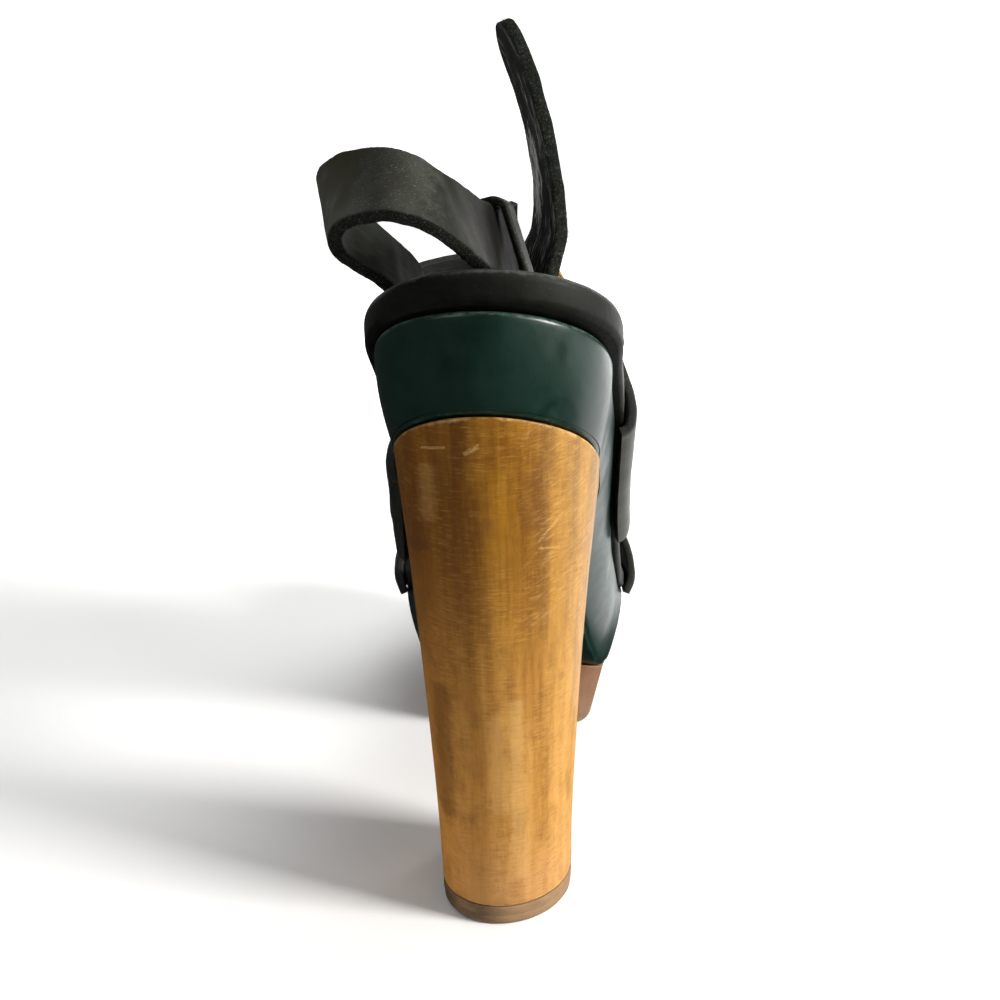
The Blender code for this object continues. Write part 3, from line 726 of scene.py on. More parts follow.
class Effects:
    """Shader node groups that several finishes share."""

    def __init__(self) -> None:
        """Build each group once."""
        self.grain = self.build_grain()
        self.wear_and_highlight = self.build_wear_and_highlight()
        self.mark = self.build_mark()
        self.wood = self.build_wood()

    @staticmethod
    def build_grain() -> NodeTree:
        """Pebbled leather grain: height, pale specks and slow changes of tone.

        Returns:
            The node tree.
        """
        tree, source, result = new_group(
            "leather_grain", ("Place",), ("Pebble", "Folds", "Speck Share"), ("Height", "Specks", "Tone"))
        place = tree.scaled(source["Place"], PER_METRE)
        fine = tree.scaled(place, tree.math("DIVIDE", 1.0, source["Pebble"]))
        cells = tree.add("ShaderNodeTexVoronoi", {"Vector": fine, "Scale": 1.0, "Randomness": 1.0})
        domes = tree.less(1.0, cells.outputs["Distance"])
        pebbles = tree.plus(tree.times(domes, 0.65), tree.times(tree.noise(fine, 0.6, 3.0, 0.6), 0.6))
        folds = tree.times(tree.noise(place, 0.34, 3.0, 0.55), source["Folds"])
        limit = tree.less(0.84, tree.times(source["Speck Share"], 0.25))
        specks = tree.step(tree.noise(place, 2.6, 2.0, 0.6), limit, tree.plus(limit, 0.05))
        drift = tree.between(0.45, tree.noise(place, 0.035, 3.0, 0.55), tree.noise(place, 0.21, 4.0, 0.65))
        tree.fill(result, {"Height": tree.plus(pebbles, folds), "Specks": specks,
                           "Tone": tree.step(drift, 0.36, 0.64)})
        return tree.tree

    @staticmethod
    def build_wear_and_highlight() -> NodeTree:
        """Broken rubbing along an edge, from the nearness painted on the piece; some finishes also use it for
        a painted highlight along a rounded edge.

        Returns:
            The node tree.
        """
        tree, source, result = new_group(
            "edge_wear_and_highlight", ("Place",), ("Nearness", "Breakup", "Amount"), ("Mask",))
        near, place = source["Nearness"], tree.scaled(source["Place"], PER_METRE)
        fine = tree.scaled(place, tree.math("DIVIDE", 1.0, source["Breakup"]))
        broken = tree.less(tree.noise(fine, 1.0, 4.0, 0.65), 0.5)
        wear_and_highlight_colour = tree.step(tree.plus(tree.times(near, source["Amount"]), broken), 0.30, 0.75)
        tree.fill(result, {"Mask": tree.times(wear_and_highlight_colour, tree.step(near, 0.05, 0.4))})
        return tree.tree

    @staticmethod
    def build_mark() -> NodeTree:
        """Scratch, stain or painted sheen placed along a line in the shoe's own frame, seen from behind.

        Returns:
            The node tree.
        """
        tree, source, result = new_group(
            "placed_mark", ("Place", "Start", "End"), ("Half Width", "Soft", "Fineness", "Broken"), ("Mask",))
        place = tree.scaled(source["Place"], PER_METRE)
        from_start = tree.vector("SUBTRACT", tree.stretched(place, (1.0, 0.0, 1.0)), source["Start"])
        line = tree.vector("SUBTRACT", source["End"], source["Start"])
        share = tree.math("DIVIDE", tree.dot(from_start, line), tree.dot(line, line), clamp=True)
        distance = tree.length(tree.vector("SUBTRACT", from_start, tree.scaled(line, share)))
        fine = tree.scaled(place, source["Fineness"])
        ragged = tree.step(tree.noise(fine, 1.1, 4.0, 0.7), 0.30, 0.72, 0.3, 1.5)
        width = tree.times(source["Half Width"], ragged)
        mask = tree.step(distance, width, tree.plus(width, source["Soft"]), 1.0, 0.0)
        chips = tree.step(tree.noise(fine, 1.7, 3.0, 0.7), 0.38, 0.58)
        kept = tree.between(source["Broken"], 1.0, chips)
        behind = tree.times(kept, tree.step(tree.axes(place)["Y"], -4.0, 2.0, 1.0, 0.0))
        tree.fill(result, {"Mask": tree.times(mask, behind)})
        return tree.tree

    @staticmethod
    def build_wood() -> NodeTree:
        """Straight wood grain that runs up the shoe, with blotches, level checks and slanting figure.

        Returns:
            The node tree.
        """
        tree, source, result = new_group(
            "wood_grain", ("Place",), ("Band", "Stretch"),
            ("Bands", "Fibres", "Blotches", "Scores", "Checks", "Figure"))
        place = tree.scaled(source["Place"], PER_METRE)
        drawn = tree.stretched(place, tree.joined(1.0, 1.0, tree.math("DIVIDE", 1.0, source["Stretch"])))
        bend = tree.add("ShaderNodeTexNoise", {"Vector": place, "Scale": 0.03, "Detail": 2.0}).outputs[1]
        swayed = tree.vector("ADD", drawn, tree.scaled(tree.vector("SUBTRACT", bend, (0.5, 0.5, 0.5)), 4.0))
        narrow = tree.noise(tree.scaled(swayed, tree.math("DIVIDE", 1.0, source["Band"])), 1.0, 2.0, 0.55)
        broad = tree.noise(tree.scaled(swayed, tree.math("DIVIDE", 0.3, source["Band"])), 1.0, 1.0)
        blotches = tree.noise(tree.stretched(place, (0.20, 0.20, 0.11)), 1.0, 5.0, 0.68)
        lines = tree.noise(tree.stretched(place, (0.30, 0.30, 2.1)), 1.0, 5.0, 0.74)
        patches = tree.noise(tree.stretched(place, (0.12, 0.12, 0.05)), 1.0, 3.0, 0.6)
        shown = tree.step(patches, 0.34, 0.56, 0.15, 1.0)
        slant = math.radians(25.0)
        ahead = tree.dot(place, (math.cos(slant), 0.0, math.sin(slant)))
        aside = tree.dot(place, (-math.sin(slant), 0.0, math.cos(slant)))
        strokes = tree.joined(tree.times(ahead, 0.26), 0.0, tree.times(aside, 1.25))
        figure = tree.noise(tree.vector("ADD", strokes, tree.scaled(bend, 1.5)), 1.0, 4.0, 0.68)
        tree.fill(result, {
            "Bands": tree.step(tree.between(0.4, narrow, broad), 0.36, 0.64),
            "Fibres": tree.noise(tree.stretched(place, (1.6, 1.6, 0.30)), 1.0, 5.0, 0.72),
            "Blotches": tree.step(blotches, 0.42, 0.70),
            "Scores": tree.times(tree.step(lines, 0.50, 0.64), shown),
            "Checks": tree.times(tree.step(lines, 0.48, 0.36), shown),
            "Figure": tree.step(figure, 0.50, 0.70),
        })
        return tree.tree


def new_material(name: str) -> tuple[Material, Tree, Node]:
    """New material with a plain shader.

    Args:
        name: Name of the finish.

    Returns:
        The material, its tree and its shader.
    """
    material = bpy.data.materials.new(name)
    material.use_nodes = True
    return material, Tree(material.node_tree), material.node_tree.nodes["Principled BSDF"]


@dataclass(frozen=True)
class LeatherFinish:
    """Leather with a grain side, a rough flesh side and raw cut edges.

    Painted light and shade lie in bands along a strap, and a scuff on its flesh side has a middle and a reach
    along and across it.
    """

    name: str
    dark: Colour
    light: Colour
    speck: Colour
    # Colour of rubbed edges; on the green wrap and the footbed it is also a painted highlight along a rounded
    # edge
    wear_and_highlight_colour: Colour
    flesh_dark: Colour = (0.006, 0.006, 0.005)
    flesh_light: Colour = (0.022, 0.024, 0.020)
    flesh_patches: float = 0.0
    cut_dark: Colour = (0.006, 0.007, 0.005)
    cut_light: Colour = (0.045, 0.050, 0.040)
    pebble: float = 0.36
    speck_share: float = 0.5
    roughness: float = 0.50
    raw_roughness: float = 0.86
    speck_strength: float = 0.55
    wear_and_highlight_strength: float = 0.6
    nap_height: float = 2.2
    torn_height: float = 3.0
    relief: float = 0.0006
    specular: float = 0.30
    coat: float = 0.0
    coat_roughness: float = 0.3
    bump: float = 0.07
    folds: float = 3.0
    wear_and_highlight: float = 0.55
    painted_light_and_shade: tuple = ()
    scuff: tuple = ()

    def material(self, effects: Effects) -> Material:
        """Build the material.

        Args:
            effects: The shared node groups.

        Returns:
            The material.
        """
        material, tree, shader = new_material(self.name)
        place, strap = tree.place(), tree.painted("strap_place", "Vector")
        near = tree.scaled(place, PER_METRE)
        flesh, cut = tree.painted("flesh"), tree.painted("cut")
        grain = tree.group(effects.grain, {"Place": place, "Pebble": self.pebble, "Folds": self.folds,
                                           "Speck Share": self.speck_share})
        # Edge mask: wear, and on the green wrap and the footbed also a painted highlight line
        rubbed = tree.group(effects.wear_and_highlight, {"Place": place, "Nearness": tree.painted("edge"), "Breakup": 1.6,
                                           "Amount": self.wear_and_highlight})["Mask"]
        base = tree.mix(grain["Tone"], self.dark, self.light)
        base = tree.over(base, self.speck, grain["Specks"], self.speck_strength)
        base = tree.over(base, self.wear_and_highlight_colour, rubbed, self.wear_and_highlight_strength)
        stray = tree.step(tree.noise(near, 0.4, 4.0, 0.7), 0.2, 0.8, -2.5, 2.5)
        ragged = tree.plus(tree.axes(strap)["X"], stray)
        # Painted light and shade along the strap: each band lightens or darkens the colour from a place along
        # it
        for start, full, colour, strength in self.painted_light_and_shade:
            base = tree.mix(tree.step(ragged, start, full, 0.0, strength), base, colour)
        strands = tree.noise(tree.stretched(strap, (0.22, 1.6, 1.6)), 1.0, 5.0, 0.7)
        nap = tree.mix(self.raised(tree, strap, strands), self.flesh_dark, self.flesh_light)
        base = tree.mix(flesh, base, nap)
        torn = tree.noise(near, 1.9, 4.0, 0.75)
        clumps = tree.step(tree.noise(near, 0.42, 3.0, 0.6), 0.42, 0.62, 0.2, 1.0)
        raw = tree.mix(tree.times(tree.step(torn, 0.52, 0.70), clumps), self.cut_dark, self.cut_light)
        base = tree.mix(cut, base, raw)
        lip = tree.times(tree.step(cut, 0.05, 0.45), tree.step(cut, 0.95, 0.55))
        base = tree.mix(tree.times(lip, tree.step(torn, 0.36, 0.62, 0.1, 0.7)), base, self.wear_and_highlight_colour)
        satin = tree.between(grain["Tone"], self.roughness - 0.06, self.roughness + 0.08)
        unfinished = tree.math("MAXIMUM", flesh, cut)
        height = tree.times(grain["Height"], tree.math("SUBTRACT", 1.0, unfinished, clamp=True))
        height = tree.plus(height, tree.times(strands, tree.times(flesh, self.nap_height)))
        height = tree.plus(height, tree.times(torn, tree.times(cut, self.torn_height)))
        tree.fill(shader, {
            "Base Color": base, "Roughness": tree.between(unfinished, satin, self.raw_roughness),
            "Normal": tree.bump(height, self.bump, self.relief), "Specular IOR Level": self.specular,
            "Coat Weight": self.coat, "Coat Roughness": self.coat_roughness,
        })
        return material

    def raised(self, tree: Tree, strap: Socket, strands: Socket) -> Socket:
        """Where strands stand up on the flesh side.

        Args:
            tree: The material's tree.
            strap: Place along and across the strap.
            strands: Pattern of the strands.

        Returns:
            The mask.
        """
        patches = tree.noise(tree.stretched(strap, (0.05, 0.28, 0.28)), 1.0, 3.0, 0.6)
        kept = tree.between(self.flesh_patches, 1.0, tree.step(patches, 0.42, 0.60))
        mask = tree.times(tree.step(strands, 0.45, 0.70), kept)
        if not self.scuff:
            return mask
        middle, reach = self.scuff
        offset = tree.vector("DIVIDE", tree.vector("SUBTRACT", strap, middle), reach)
        ragged = tree.plus(tree.dot(offset, offset), tree.step(strands, 0.25, 0.75, 1.3, -1.3))
        scuffed = tree.times(tree.step(ragged, 1.1, 0.6), tree.step(strands, 0.40, 0.62, 0.10, 1.0))
        return tree.math("MAXIMUM", mask, scuffed)


@dataclass(frozen=True)
class WoodFinish:
    """Lacquered wood with grain that runs up the shoe, marks of use, a painted sheen, and painted light and
    shade on its sides.
    """

    name: str
    dark: Colour
    light: Colour
    low_dark: Colour
    low_light: Colour
    # Colours laid on the inner side, high and low: painted shade above and painted light low down
    side: Colour
    low_side_painted_light: Colour
    foot: Colour
    pale: Colour = (0.60, 0.40, 0.16)
    gold: Colour = (0.56, 0.31, 0.075)
    stain: Colour = (0.085, 0.030, 0.006)
    band: float = 3.0
    stretch: float = 34.0
    fade: tuple[float, float] = (0.110, 0.015)
    blotches: float = 0.32
    scores: float = 0.16
    checks: float = 0.30
    figure: float = 0.0
    outer_painted_highlight: float = 0.0
    chips: float = 0.6
    roughness: float = 0.46
    specular: float = 0.14
    coat: float = 0.16
    coat_roughness: float = 0.26
    bump: float = 0.16
    relief: float = 0.0004
    foot_strength: float = 0.55
    side_light_and_shade_strength: float = 0.65
    marks: tuple = ()

    def material(self, effects: Effects) -> Material:
        """Build the material.

        Args:
            effects: The shared node groups.

        Returns:
            The material.
        """
        material, tree, shader = new_material(self.name)
        place = tree.place()
        axes = tree.axes(place)
        x, z = axes["X"], axes["Z"]
        grain = tree.group(effects.wood, {"Place": place, "Band": self.band, "Stretch": self.stretch})
        tone = tree.between(0.22, grain["Bands"], tree.step(grain["Fibres"], 0.30, 0.70))
        low = tree.step(z, *self.fade)
        high_wood = tree.mix(tone, self.dark, self.light)
        low_wood = tree.mix(tone, self.low_dark, self.low_light)
        base = tree.mix(low, high_wood, low_wood)
        base = tree.mix(tree.step(z, 0.030, 0.006, 0.0, self.foot_strength), base, self.foot)
        # Painted shade on the upper inner side and painted light low on the inner side
        side = tree.mix(low, self.side, self.low_side_painted_light)
        base = tree.mix(tree.step(x, 0.003, -0.020, 0.0, self.side_light_and_shade_strength), base, side)
        # Painted highlight: paler towards the outer side
        base = tree.mix(tree.step(x, 0.007, 0.018, 0.0, self.outer_painted_highlight), base, self.pale)
        base = tree.over(base, self.stain, grain["Blotches"], self.blotches)
        base = tree.over(base, self.gold, grain["Scores"], self.scores)
        base = tree.over(base, self.stain, grain["Checks"], self.checks)
        outer = tree.times(tree.step(x, 0.003, 0.010), tree.step(z, 0.070, 0.085))
        base = tree.over(base, self.pale, tree.times(grain["Figure"], outer), self.figure)
        # Wide marks are soft patches: stains, and one painted sheen on the inner side
        for tint, x0, z0, x1, z1, half, strength in self.marks:
            stain = half > WIDE_MARK
            mask = tree.group(effects.mark, {
                "Place": place, "Start": (x0, 0.0, z0), "End": (x1, 0.0, z1), "Half Width": half,
                "Soft": half * 2.6 if stain else 0.14 + half * 0.5,
                "Fineness": 0.30 if stain else 2.2, "Broken": 0.0 if stain else 1.0,
            })["Mask"]
            base = tree.over(base, self.pale if tint is Tint.PALE else self.stain, mask, strength)
        rubbed = tree.group(effects.wear_and_highlight, {"Place": place, "Nearness": tree.painted("edge"), "Breakup": 3.4,
                                           "Amount": 0.46})["Mask"]
        base = tree.over(base, self.pale, rubbed, self.chips)
        rough = tree.between(grain["Fibres"], self.roughness - 0.10, self.roughness + 0.12)
        height = tree.less(grain["Fibres"], tree.times(grain["Checks"], 0.8))
        tree.fill(shader, {
            "Base Color": base, "Roughness": tree.plus(rough, tree.times(rubbed, 0.2)),
            "Normal": tree.bump(height, self.bump, self.relief), "Specular IOR Level": self.specular,
            "Coat Weight": self.coat, "Coat Roughness": self.coat_roughness,
        })
        return material


@dataclass(frozen=True)
class RubberFinish:
    """Matt rubber or thread with dust and a scuffed edge."""

    name: str
    dark: Colour
    light: Colour
    roughness: float = 0.82

    def material(self, effects: Effects) -> Material:
        """Build the material.

        Args:
            effects: The shared node groups.

        Returns:
            The material.
        """
        material, tree, shader = new_material(self.name)
        place = tree.place()
        grain = tree.group(effects.grain, {"Place": place, "Pebble": 0.35, "Folds": 0.0, "Speck Share": 0.9})
        rubbed = tree.group(effects.wear_and_highlight, {"Place": place, "Nearness": tree.painted("edge"), "Breakup": 1.2,
                                           "Amount": 0.8})["Mask"]
        base = tree.mix(grain["Tone"], self.dark, self.light)
        scuffs = tree.math("MAXIMUM", rubbed, tree.times(grain["Specks"], 0.5))
        tree.fill(shader, {
            "Base Color": tree.over(base, self.light, scuffs, 0.7),
            "Roughness": tree.between(grain["Tone"], self.roughness - 0.08, self.roughness + 0.08),
            "Normal": tree.bump(grain["Height"], 0.25, 0.0004),
        })
        return material


@dataclass(frozen=True)
class MetalFinish:
    """Polished metal with fine rubbing marks."""

    name: str
    dark: Colour
    light: Colour
    roughness: float = 0.22

    def material(self, effects: Effects) -> Material:
        """Build the material.

        Args:
            effects: The shared node groups.

        Returns:
            The material.
        """
        material, tree, shader = new_material(self.name)
        inputs = {"Place": tree.place(), "Pebble": 0.8, "Folds": 0.0, "Speck Share": 0.8}
        grain = tree.group(effects.grain, inputs)
        base = tree.mix(grain["Tone"], self.dark, self.light)
        tree.fill(shader, {
            "Base Color": tree.over(base, self.dark, grain["Specks"], 0.6), "Metallic": 1.0,
            "Roughness": tree.between(grain["Tone"], self.roughness, self.roughness + 0.16),
            "Normal": tree.bump(grain["Height"], 0.06, 0.0003),
        })
        return material


BLACK_LEATHER = LeatherFinish(
    "black_leather", dark=(0.0110, 0.0100, 0.0050), light=(0.0170, 0.0182, 0.0138),
    speck=(0.100, 0.105, 0.090), wear_and_highlight_colour=(0.034, 0.036, 0.030), specular=0.42, roughness=0.42,
)
# The sling carries painted light and shade along its length.
SLING_LEATHER = replace(
    BLACK_LEATHER, name="sling_leather", dark=(0.0260, 0.0260, 0.0185), light=(0.0350, 0.0385, 0.0320),
    flesh_dark=(0.0090, 0.0100, 0.0070), flesh_light=(0.0165, 0.0190, 0.0135),
    speck_share=0.95, specular=0.06, roughness=0.60, painted_light_and_shade=SLING_PAINTED_LIGHT_AND_SHADE,
)
# A darker copy of the sling leather: painted shade on the keeper loop, which sits in shadow.
KEEPER_SHADED_LEATHER = replace(
    SLING_LEATHER, name="keeper_leather_painted_shade", dark=(0.0050, 0.0050, 0.0036), light=(0.0090, 0.0092, 0.0070),
    painted_light_and_shade=(),
)
ANKLE_LEATHER = replace(
    SLING_LEATHER, name="ankle_leather", painted_light_and_shade=(), speck_share=0.5, flesh_dark=(0.0060, 0.0060, 0.0050),
    flesh_light=(0.340, 0.343, 0.324), flesh_patches=1.0, scuff=((61.0, 11.8, 0.0), (10.0, 4.0, 100.0)),
    cut_light=(0.090, 0.096, 0.084),
)
# The pale line along the crown of the footbed's rolled edge is a painted highlight as well as wear.
FOOTBED_LEATHER = replace(
    BLACK_LEATHER, name="footbed_leather", dark=(0.0022, 0.0022, 0.0016), light=(0.0056, 0.0062, 0.0038),
    wear_and_highlight_colour=(0.060, 0.064, 0.055), specular=0.14, roughness=0.56, folds=5.0, wear_and_highlight=0.62,
)
# The pale line along the wrap's top lip is partly wear and partly a painted highlight.
GREEN_LEATHER = LeatherFinish(
    "green_leather", dark=(0.0012, 0.0105, 0.0068), light=(0.0022, 0.0170, 0.0112),
    speck=(0.085, 0.135, 0.110), wear_and_highlight_colour=(0.090, 0.145, 0.118),
    pebble=0.30, speck_share=0.30, roughness=0.34, specular=0.34, coat=0.16, coat_roughness=0.20, bump=0.05,
    wear_and_highlight=0.62, folds=1.2,
)
HEEL_WOOD = WoodFinish(
    "heel_wood", dark=(0.086, 0.029, 0.000), light=(0.224, 0.098, 0.004), low_dark=(0.256, 0.112, 0.015),
    low_light=(0.430, 0.222, 0.058), side=(0.088, 0.026, 0.000), low_side_painted_light=(0.740, 0.300, 0.046),
    foot=(0.440, 0.232, 0.092),
    figure=0.14, outer_painted_highlight=0.14, specular=0.08, marks=HEEL_MARKS,
)
BLOCK_WOOD = WoodFinish(
    "block_wood", dark=(0.095, 0.042, 0.021), light=(0.160, 0.080, 0.044), low_dark=(0.140, 0.074, 0.042),
    low_light=(0.205, 0.118, 0.072), side=(0.095, 0.042, 0.021), low_side_painted_light=(0.140, 0.074, 0.042),
    foot=(0.205, 0.120, 0.074),
    band=4.0, fade=(0.014, 0.003), blotches=0.15, scores=0.06, checks=0.06, chips=0.15, roughness=0.5,
)
TIP_RUBBER = RubberFinish("tip_rubber", (0.115, 0.065, 0.029), (0.225, 0.135, 0.064))
TREAD_RUBBER = RubberFinish("tread_rubber", (0.105, 0.062, 0.032), (0.200, 0.125, 0.066))
BRASS = MetalFinish("brass", (0.42, 0.27, 0.085), (0.68, 0.48, 0.19))
THREAD = RubberFinish("waxed_thread", (0.012, 0.012, 0.011), (0.034, 0.034, 0.030), 0.6)
FIBRE = RubberFinish("leather_fibre", (0.016, 0.018, 0.014), (0.060, 0.065, 0.053), 0.9)


@dataclass
class Footbed:
    """Leather footbed with its rolled edge."""

    line: SoleLine
    top_radius: float = 2.3
    bottom_radius: float = 1.3
    dish: float = 1.0
    full_half: float = 26.0
    crown_ring: float = 5.0
    crown_spread: float = 2.2
    fine_size: float = 9.0
    fine_height: float = 0.05
    broad_size: float = 28.0
    broad_height: float = 0.06
    seed: int = 11
    edge_steps: int = 9
    columns: int = 26

    def profile(self) -> list[tuple[float, float]]:
        """Inset and depth of each ring round the rolled edge.

        Returns:
            The rings from the upper face to the lower one.
        """
        thick = self.line.footbed_thick
        top, low = self.top_radius, self.bottom_radius
        angles = quarter_turn(self.edge_steps + 1)
        upper = [(top * (1 - math.sin(a)), top * (1 - math.cos(a))) for a in angles]
        lower = [(low * (1 - math.cos(a)), thick - low * (1 - math.sin(a))) for a in angles]
        return upper + lower

    def build(self) -> Surface:
        """Closed surface of the footbed.

        Returns:
            The surface.
        """
        outline = self.line.outline()
        rings = []
        for inset, depth in self.profile():
            ring = inset_outline(outline, inset)
            height = self.line.value(ring[:, 1], "top") - depth / np.cos(self.line.slope(ring[:, 1]))
            rings.append(np.column_stack([ring, height]))
        # Nearness along the crown of the rolled edge: the pale line it paints is a painted highlight as well
        # as wear.
        crown = np.exp(-((np.arange(len(rings)) - self.crown_ring) / self.crown_spread) ** 2)
        surface = stack_surface(rings, crown, self.columns, self.hollow)
        fine = Ripple(self.fine_size, self.seed).at(surface.points) * self.fine_height
        broad = Ripple(self.broad_size, self.seed + 1).at(surface.points) * self.broad_height
        surface.points[:, 2] += fine + broad
        return surface

    def hollow(self, row: Array) -> Array:
        """One row of the upper face, hollowed a little where a foot has pressed it.

        Args:
            row: Points across the upper face.

        Returns:
            The lowered points.
        """
        middle = (row[0, 0] + row[-1, 0]) / 2
        half = max(abs(row[-1, 0] - row[0, 0]) / 2, 1e-6)
        depth = self.dish * np.clip(1 - ((row[:, 0] - middle) / half) ** 2, 0.0, 1.0)
        depth *= min(half / self.full_half, 1.0) ** 2
        shaped = row.copy()
        shaped[:, 2] -= depth
        return shaped

    def dress(self, finish: Material) -> None:
        """Make the piece and let it ride."""
        place_piece(make_mesh("footbed_leather", self.build(), finish), "footbed")


@dataclass
class Midsole:
    """Wrapped wedge between the footbed and the wood."""

    line: SoleLine
    lip: float = 1.7
    under_radius: float = 0.9
    wall_power: float = 1.9
    lip_steps: int = 7
    wall_steps: int = 22
    under_steps: int = 5
    fold_size: float = 14.0
    fold_depth: float = 0.10
    fine_size: float = 4.0
    fine_height: float = 0.02
    seed: int = 21

    def build(self) -> Surface:
        """Closed surface of the wrapped wedge.

        Returns:
            The surface.
        """
        outline = self.line.outline()
        y = outline[:, 1]
        inset, tuck = self.line.below(y, "inset"), self.line.below(y, "tuck")
        rings, nearness = [], []
        # The lip's nearness paints a pale line that is partly wear and partly a painted highlight along the
        # top edge.
        for a in quarter_turn(self.lip_steps):
            reach = inset + self.lip * (1 - math.sin(a))
            rings.append(self.ring(outline, reach, 0.0, -self.lip * (1 - math.cos(a))))
            nearness.append(math.exp(-((a - 0.9) / 0.5) ** 2))
        for depth in np.linspace(0.0, 1.0, self.wall_steps + 2)[1:-1]:
            reach = inset + tuck * depth**self.wall_power
            rings.append(self.ring(outline, reach, depth, -self.lip * (1 - depth)))
            nearness.append(0.0)
        for a in quarter_turn(self.under_steps):
            reach = inset + tuck + self.under_radius * (1 - math.cos(a))
            rings.append(self.ring(outline, reach, 1.0, self.under_radius * (1 - math.sin(a))))
            nearness.append(math.exp(-((a - 0.8) / 0.6) ** 2) * 0.6)
        surface = stack_surface(rings, nearness)
        wall = surface.points[: len(outline) * len(rings)]
        folds = Ripple(self.fold_size, self.seed).at(wall * (1.0, 1.0, 0.35)) * self.fold_depth
        folds += Ripple(self.fine_size, self.seed + 1).at(wall) * self.fine_height
        wall[:, 0] += folds * np.sign(wall[:, 0] - self.line.value(wall[:, 1], "centre"))
        return surface

    def ring(self, outline: Array, inset: Array, depth: float, lift: float) -> Array:
        """One ring of the wall.

        Args:
            outline: The footbed's outline.
            inset: Distance inside it.
            depth: Share of the way down the wall.
            lift: Height over that place.

        Returns:
            The ring's points.
        """
        plan = self.line.turned(inset_outline(outline, inset))
        thick = (self.line.footbed_thick + GAP) / np.cos(self.line.slope(plan[:, 1]))
        top = self.line.value(plan[:, 1], "top") - thick
        low = self.line.below(plan[:, 1], "z")
        return np.column_stack([plan, top + (low - top) * depth + lift])

    def dress(self, finish: Material) -> None:
        """Make the piece and let it ride."""
        place_piece(make_mesh("midsole_wrap", self.build(), finish), "midsole")


@dataclass
class Heel:
    """Wooden heel and the rubber tip under it."""

    line: SoleLine
    top_half: float = 23.8
    top_back: float = -22.4
    top_front: float = 27.0
    top_round: float = 27.0
    top_corner: float = 7.0
    base_half: float = 16.4
    base_back: float = -18.0
    base_front: float = 18.0
    base_round: float = 17.5
    base_corner: float = 5.0
    flare: float = 1.45
    tip_thick: float = 5.2
    seat_gap: float = 0.55
    edge_radius: float = 0.7
    foot_radius: float = 0.15
    seat_wear: float = 220.0
    foot_wear: float = 160.0
    rise_steps: int = 70

    def plan(self, half: float, back: float, front: float, round_length: float, corner: float) -> Array:
        """Plan outline of the heel: rounded back, straight sides and a front with rounded corners.

        Args:
            half: Half width.
            back: Place of the back.
            front: Place of the front.
            round_length: Length of the rounded back.
            corner: Radius of the front corners.

        Returns:
            Points in plan.
        """
        angles = quarter_turn(41)
        arc = [(half * math.sin(a), back + round_length * (1 - math.cos(a))) for a in angles]
        side = [(half, y) for y in np.linspace(back + round_length, front - corner, 16)[1:]]
        turn = [(half - corner * (1 - math.cos(a)), front - corner * (1 - math.sin(a))) for a in angles[4::4]]
        face = [(x, front) for x in np.linspace(half - corner, 0.0, 12)[1:]]
        outer = np.array(arc + side + turn + face)
        return self.line.turned(np.concatenate([outer, outer[-2:0:-1] * (-1, 1)]))

    def base(self) -> Array:
        """Plan outline at the tip."""
        return self.plan(self.base_half, self.base_back, self.base_front, self.base_round, self.base_corner)

    def build_block(self) -> Surface:
        """Closed surface of the wooden block, its upper face first.

        Returns:
            The surface.
        """
        base = self.base()
        seat = self.plan(self.top_half, self.top_back, self.top_front, self.top_round, self.top_corner)
        foot, radius, low = self.tip_thick + GAP, self.edge_radius, self.foot_radius
        levels = [(1.0, radius * (1 - math.sin(a)), radius * (math.cos(a) - 1), 1.0) for a in quarter_turn(6)]
        for rise in np.linspace(1.0, 0.0, self.rise_steps)[1:-1]:
            near = math.exp(-(1 - rise) * self.seat_wear) + 0.4 * math.exp(-rise * self.foot_wear)
            levels.append((rise, 0.0, 0.0, near))
        levels += [(0.0, low * (1 - math.cos(a)), low * (1 - math.sin(a)), 0.6) for a in quarter_turn(5)]
        rings = []
        for rise, inset, lift, _ in levels:
            plan = inset_outline(base + (seat - base) * rise**self.flare, inset)
            top = self.line.below(plan[:, 1], "z") - self.seat_gap
            rings.append(np.column_stack([plan, foot + (top - foot) * rise + lift]))
        surface = stack_surface(rings, [near for *_, near in levels])
        surface.points[:, 0] += Ripple(16.0, 31).at(surface.points * (1.0, 1.0, 0.25)) * 0.07
        return surface

    def build_tip(self) -> Surface:
        """Closed surface of the tip, with rubbed edges and a thin joint line round its middle.

        Returns:
            The surface.
        """
        base = self.base()
        top = self.tip_thick
        levels = ((top, 0.10, 0.5), (top - 0.15, 0.02, 0.4), (top - 0.6, 0.0, 0.2), (2.9, 0.0, 0.0),
                  (2.7, 0.16, 0.3), (2.5, 0.16, 0.3), (2.3, 0.0, 0.1), (1.2, 0.05, 0.3), (0.5, 0.18, 0.8),
                  (0.15, 0.45, 1.0), (0.0, 0.8, 1.0))
        rings = [np.column_stack([inset_outline(base, inset), np.full(len(base), z)])
                 for z, inset, _ in levels]
        surface = stack_surface(rings, [near for _, _, near in levels])
        wall = surface.points[: len(base) * (len(rings) - 1)]
        wall[:, 0] += Ripple(5.0, 33).at(wall) * 0.06
        return surface

    def dress(self, wood: Material, rubber: Material) -> None:
        """Make the pieces and let them ride."""
        place_piece(make_mesh("heel_wood", self.build_block(), wood), "heel_block")
        place_piece(make_mesh("heel_lift", self.build_tip(), rubber), "heel_tip")


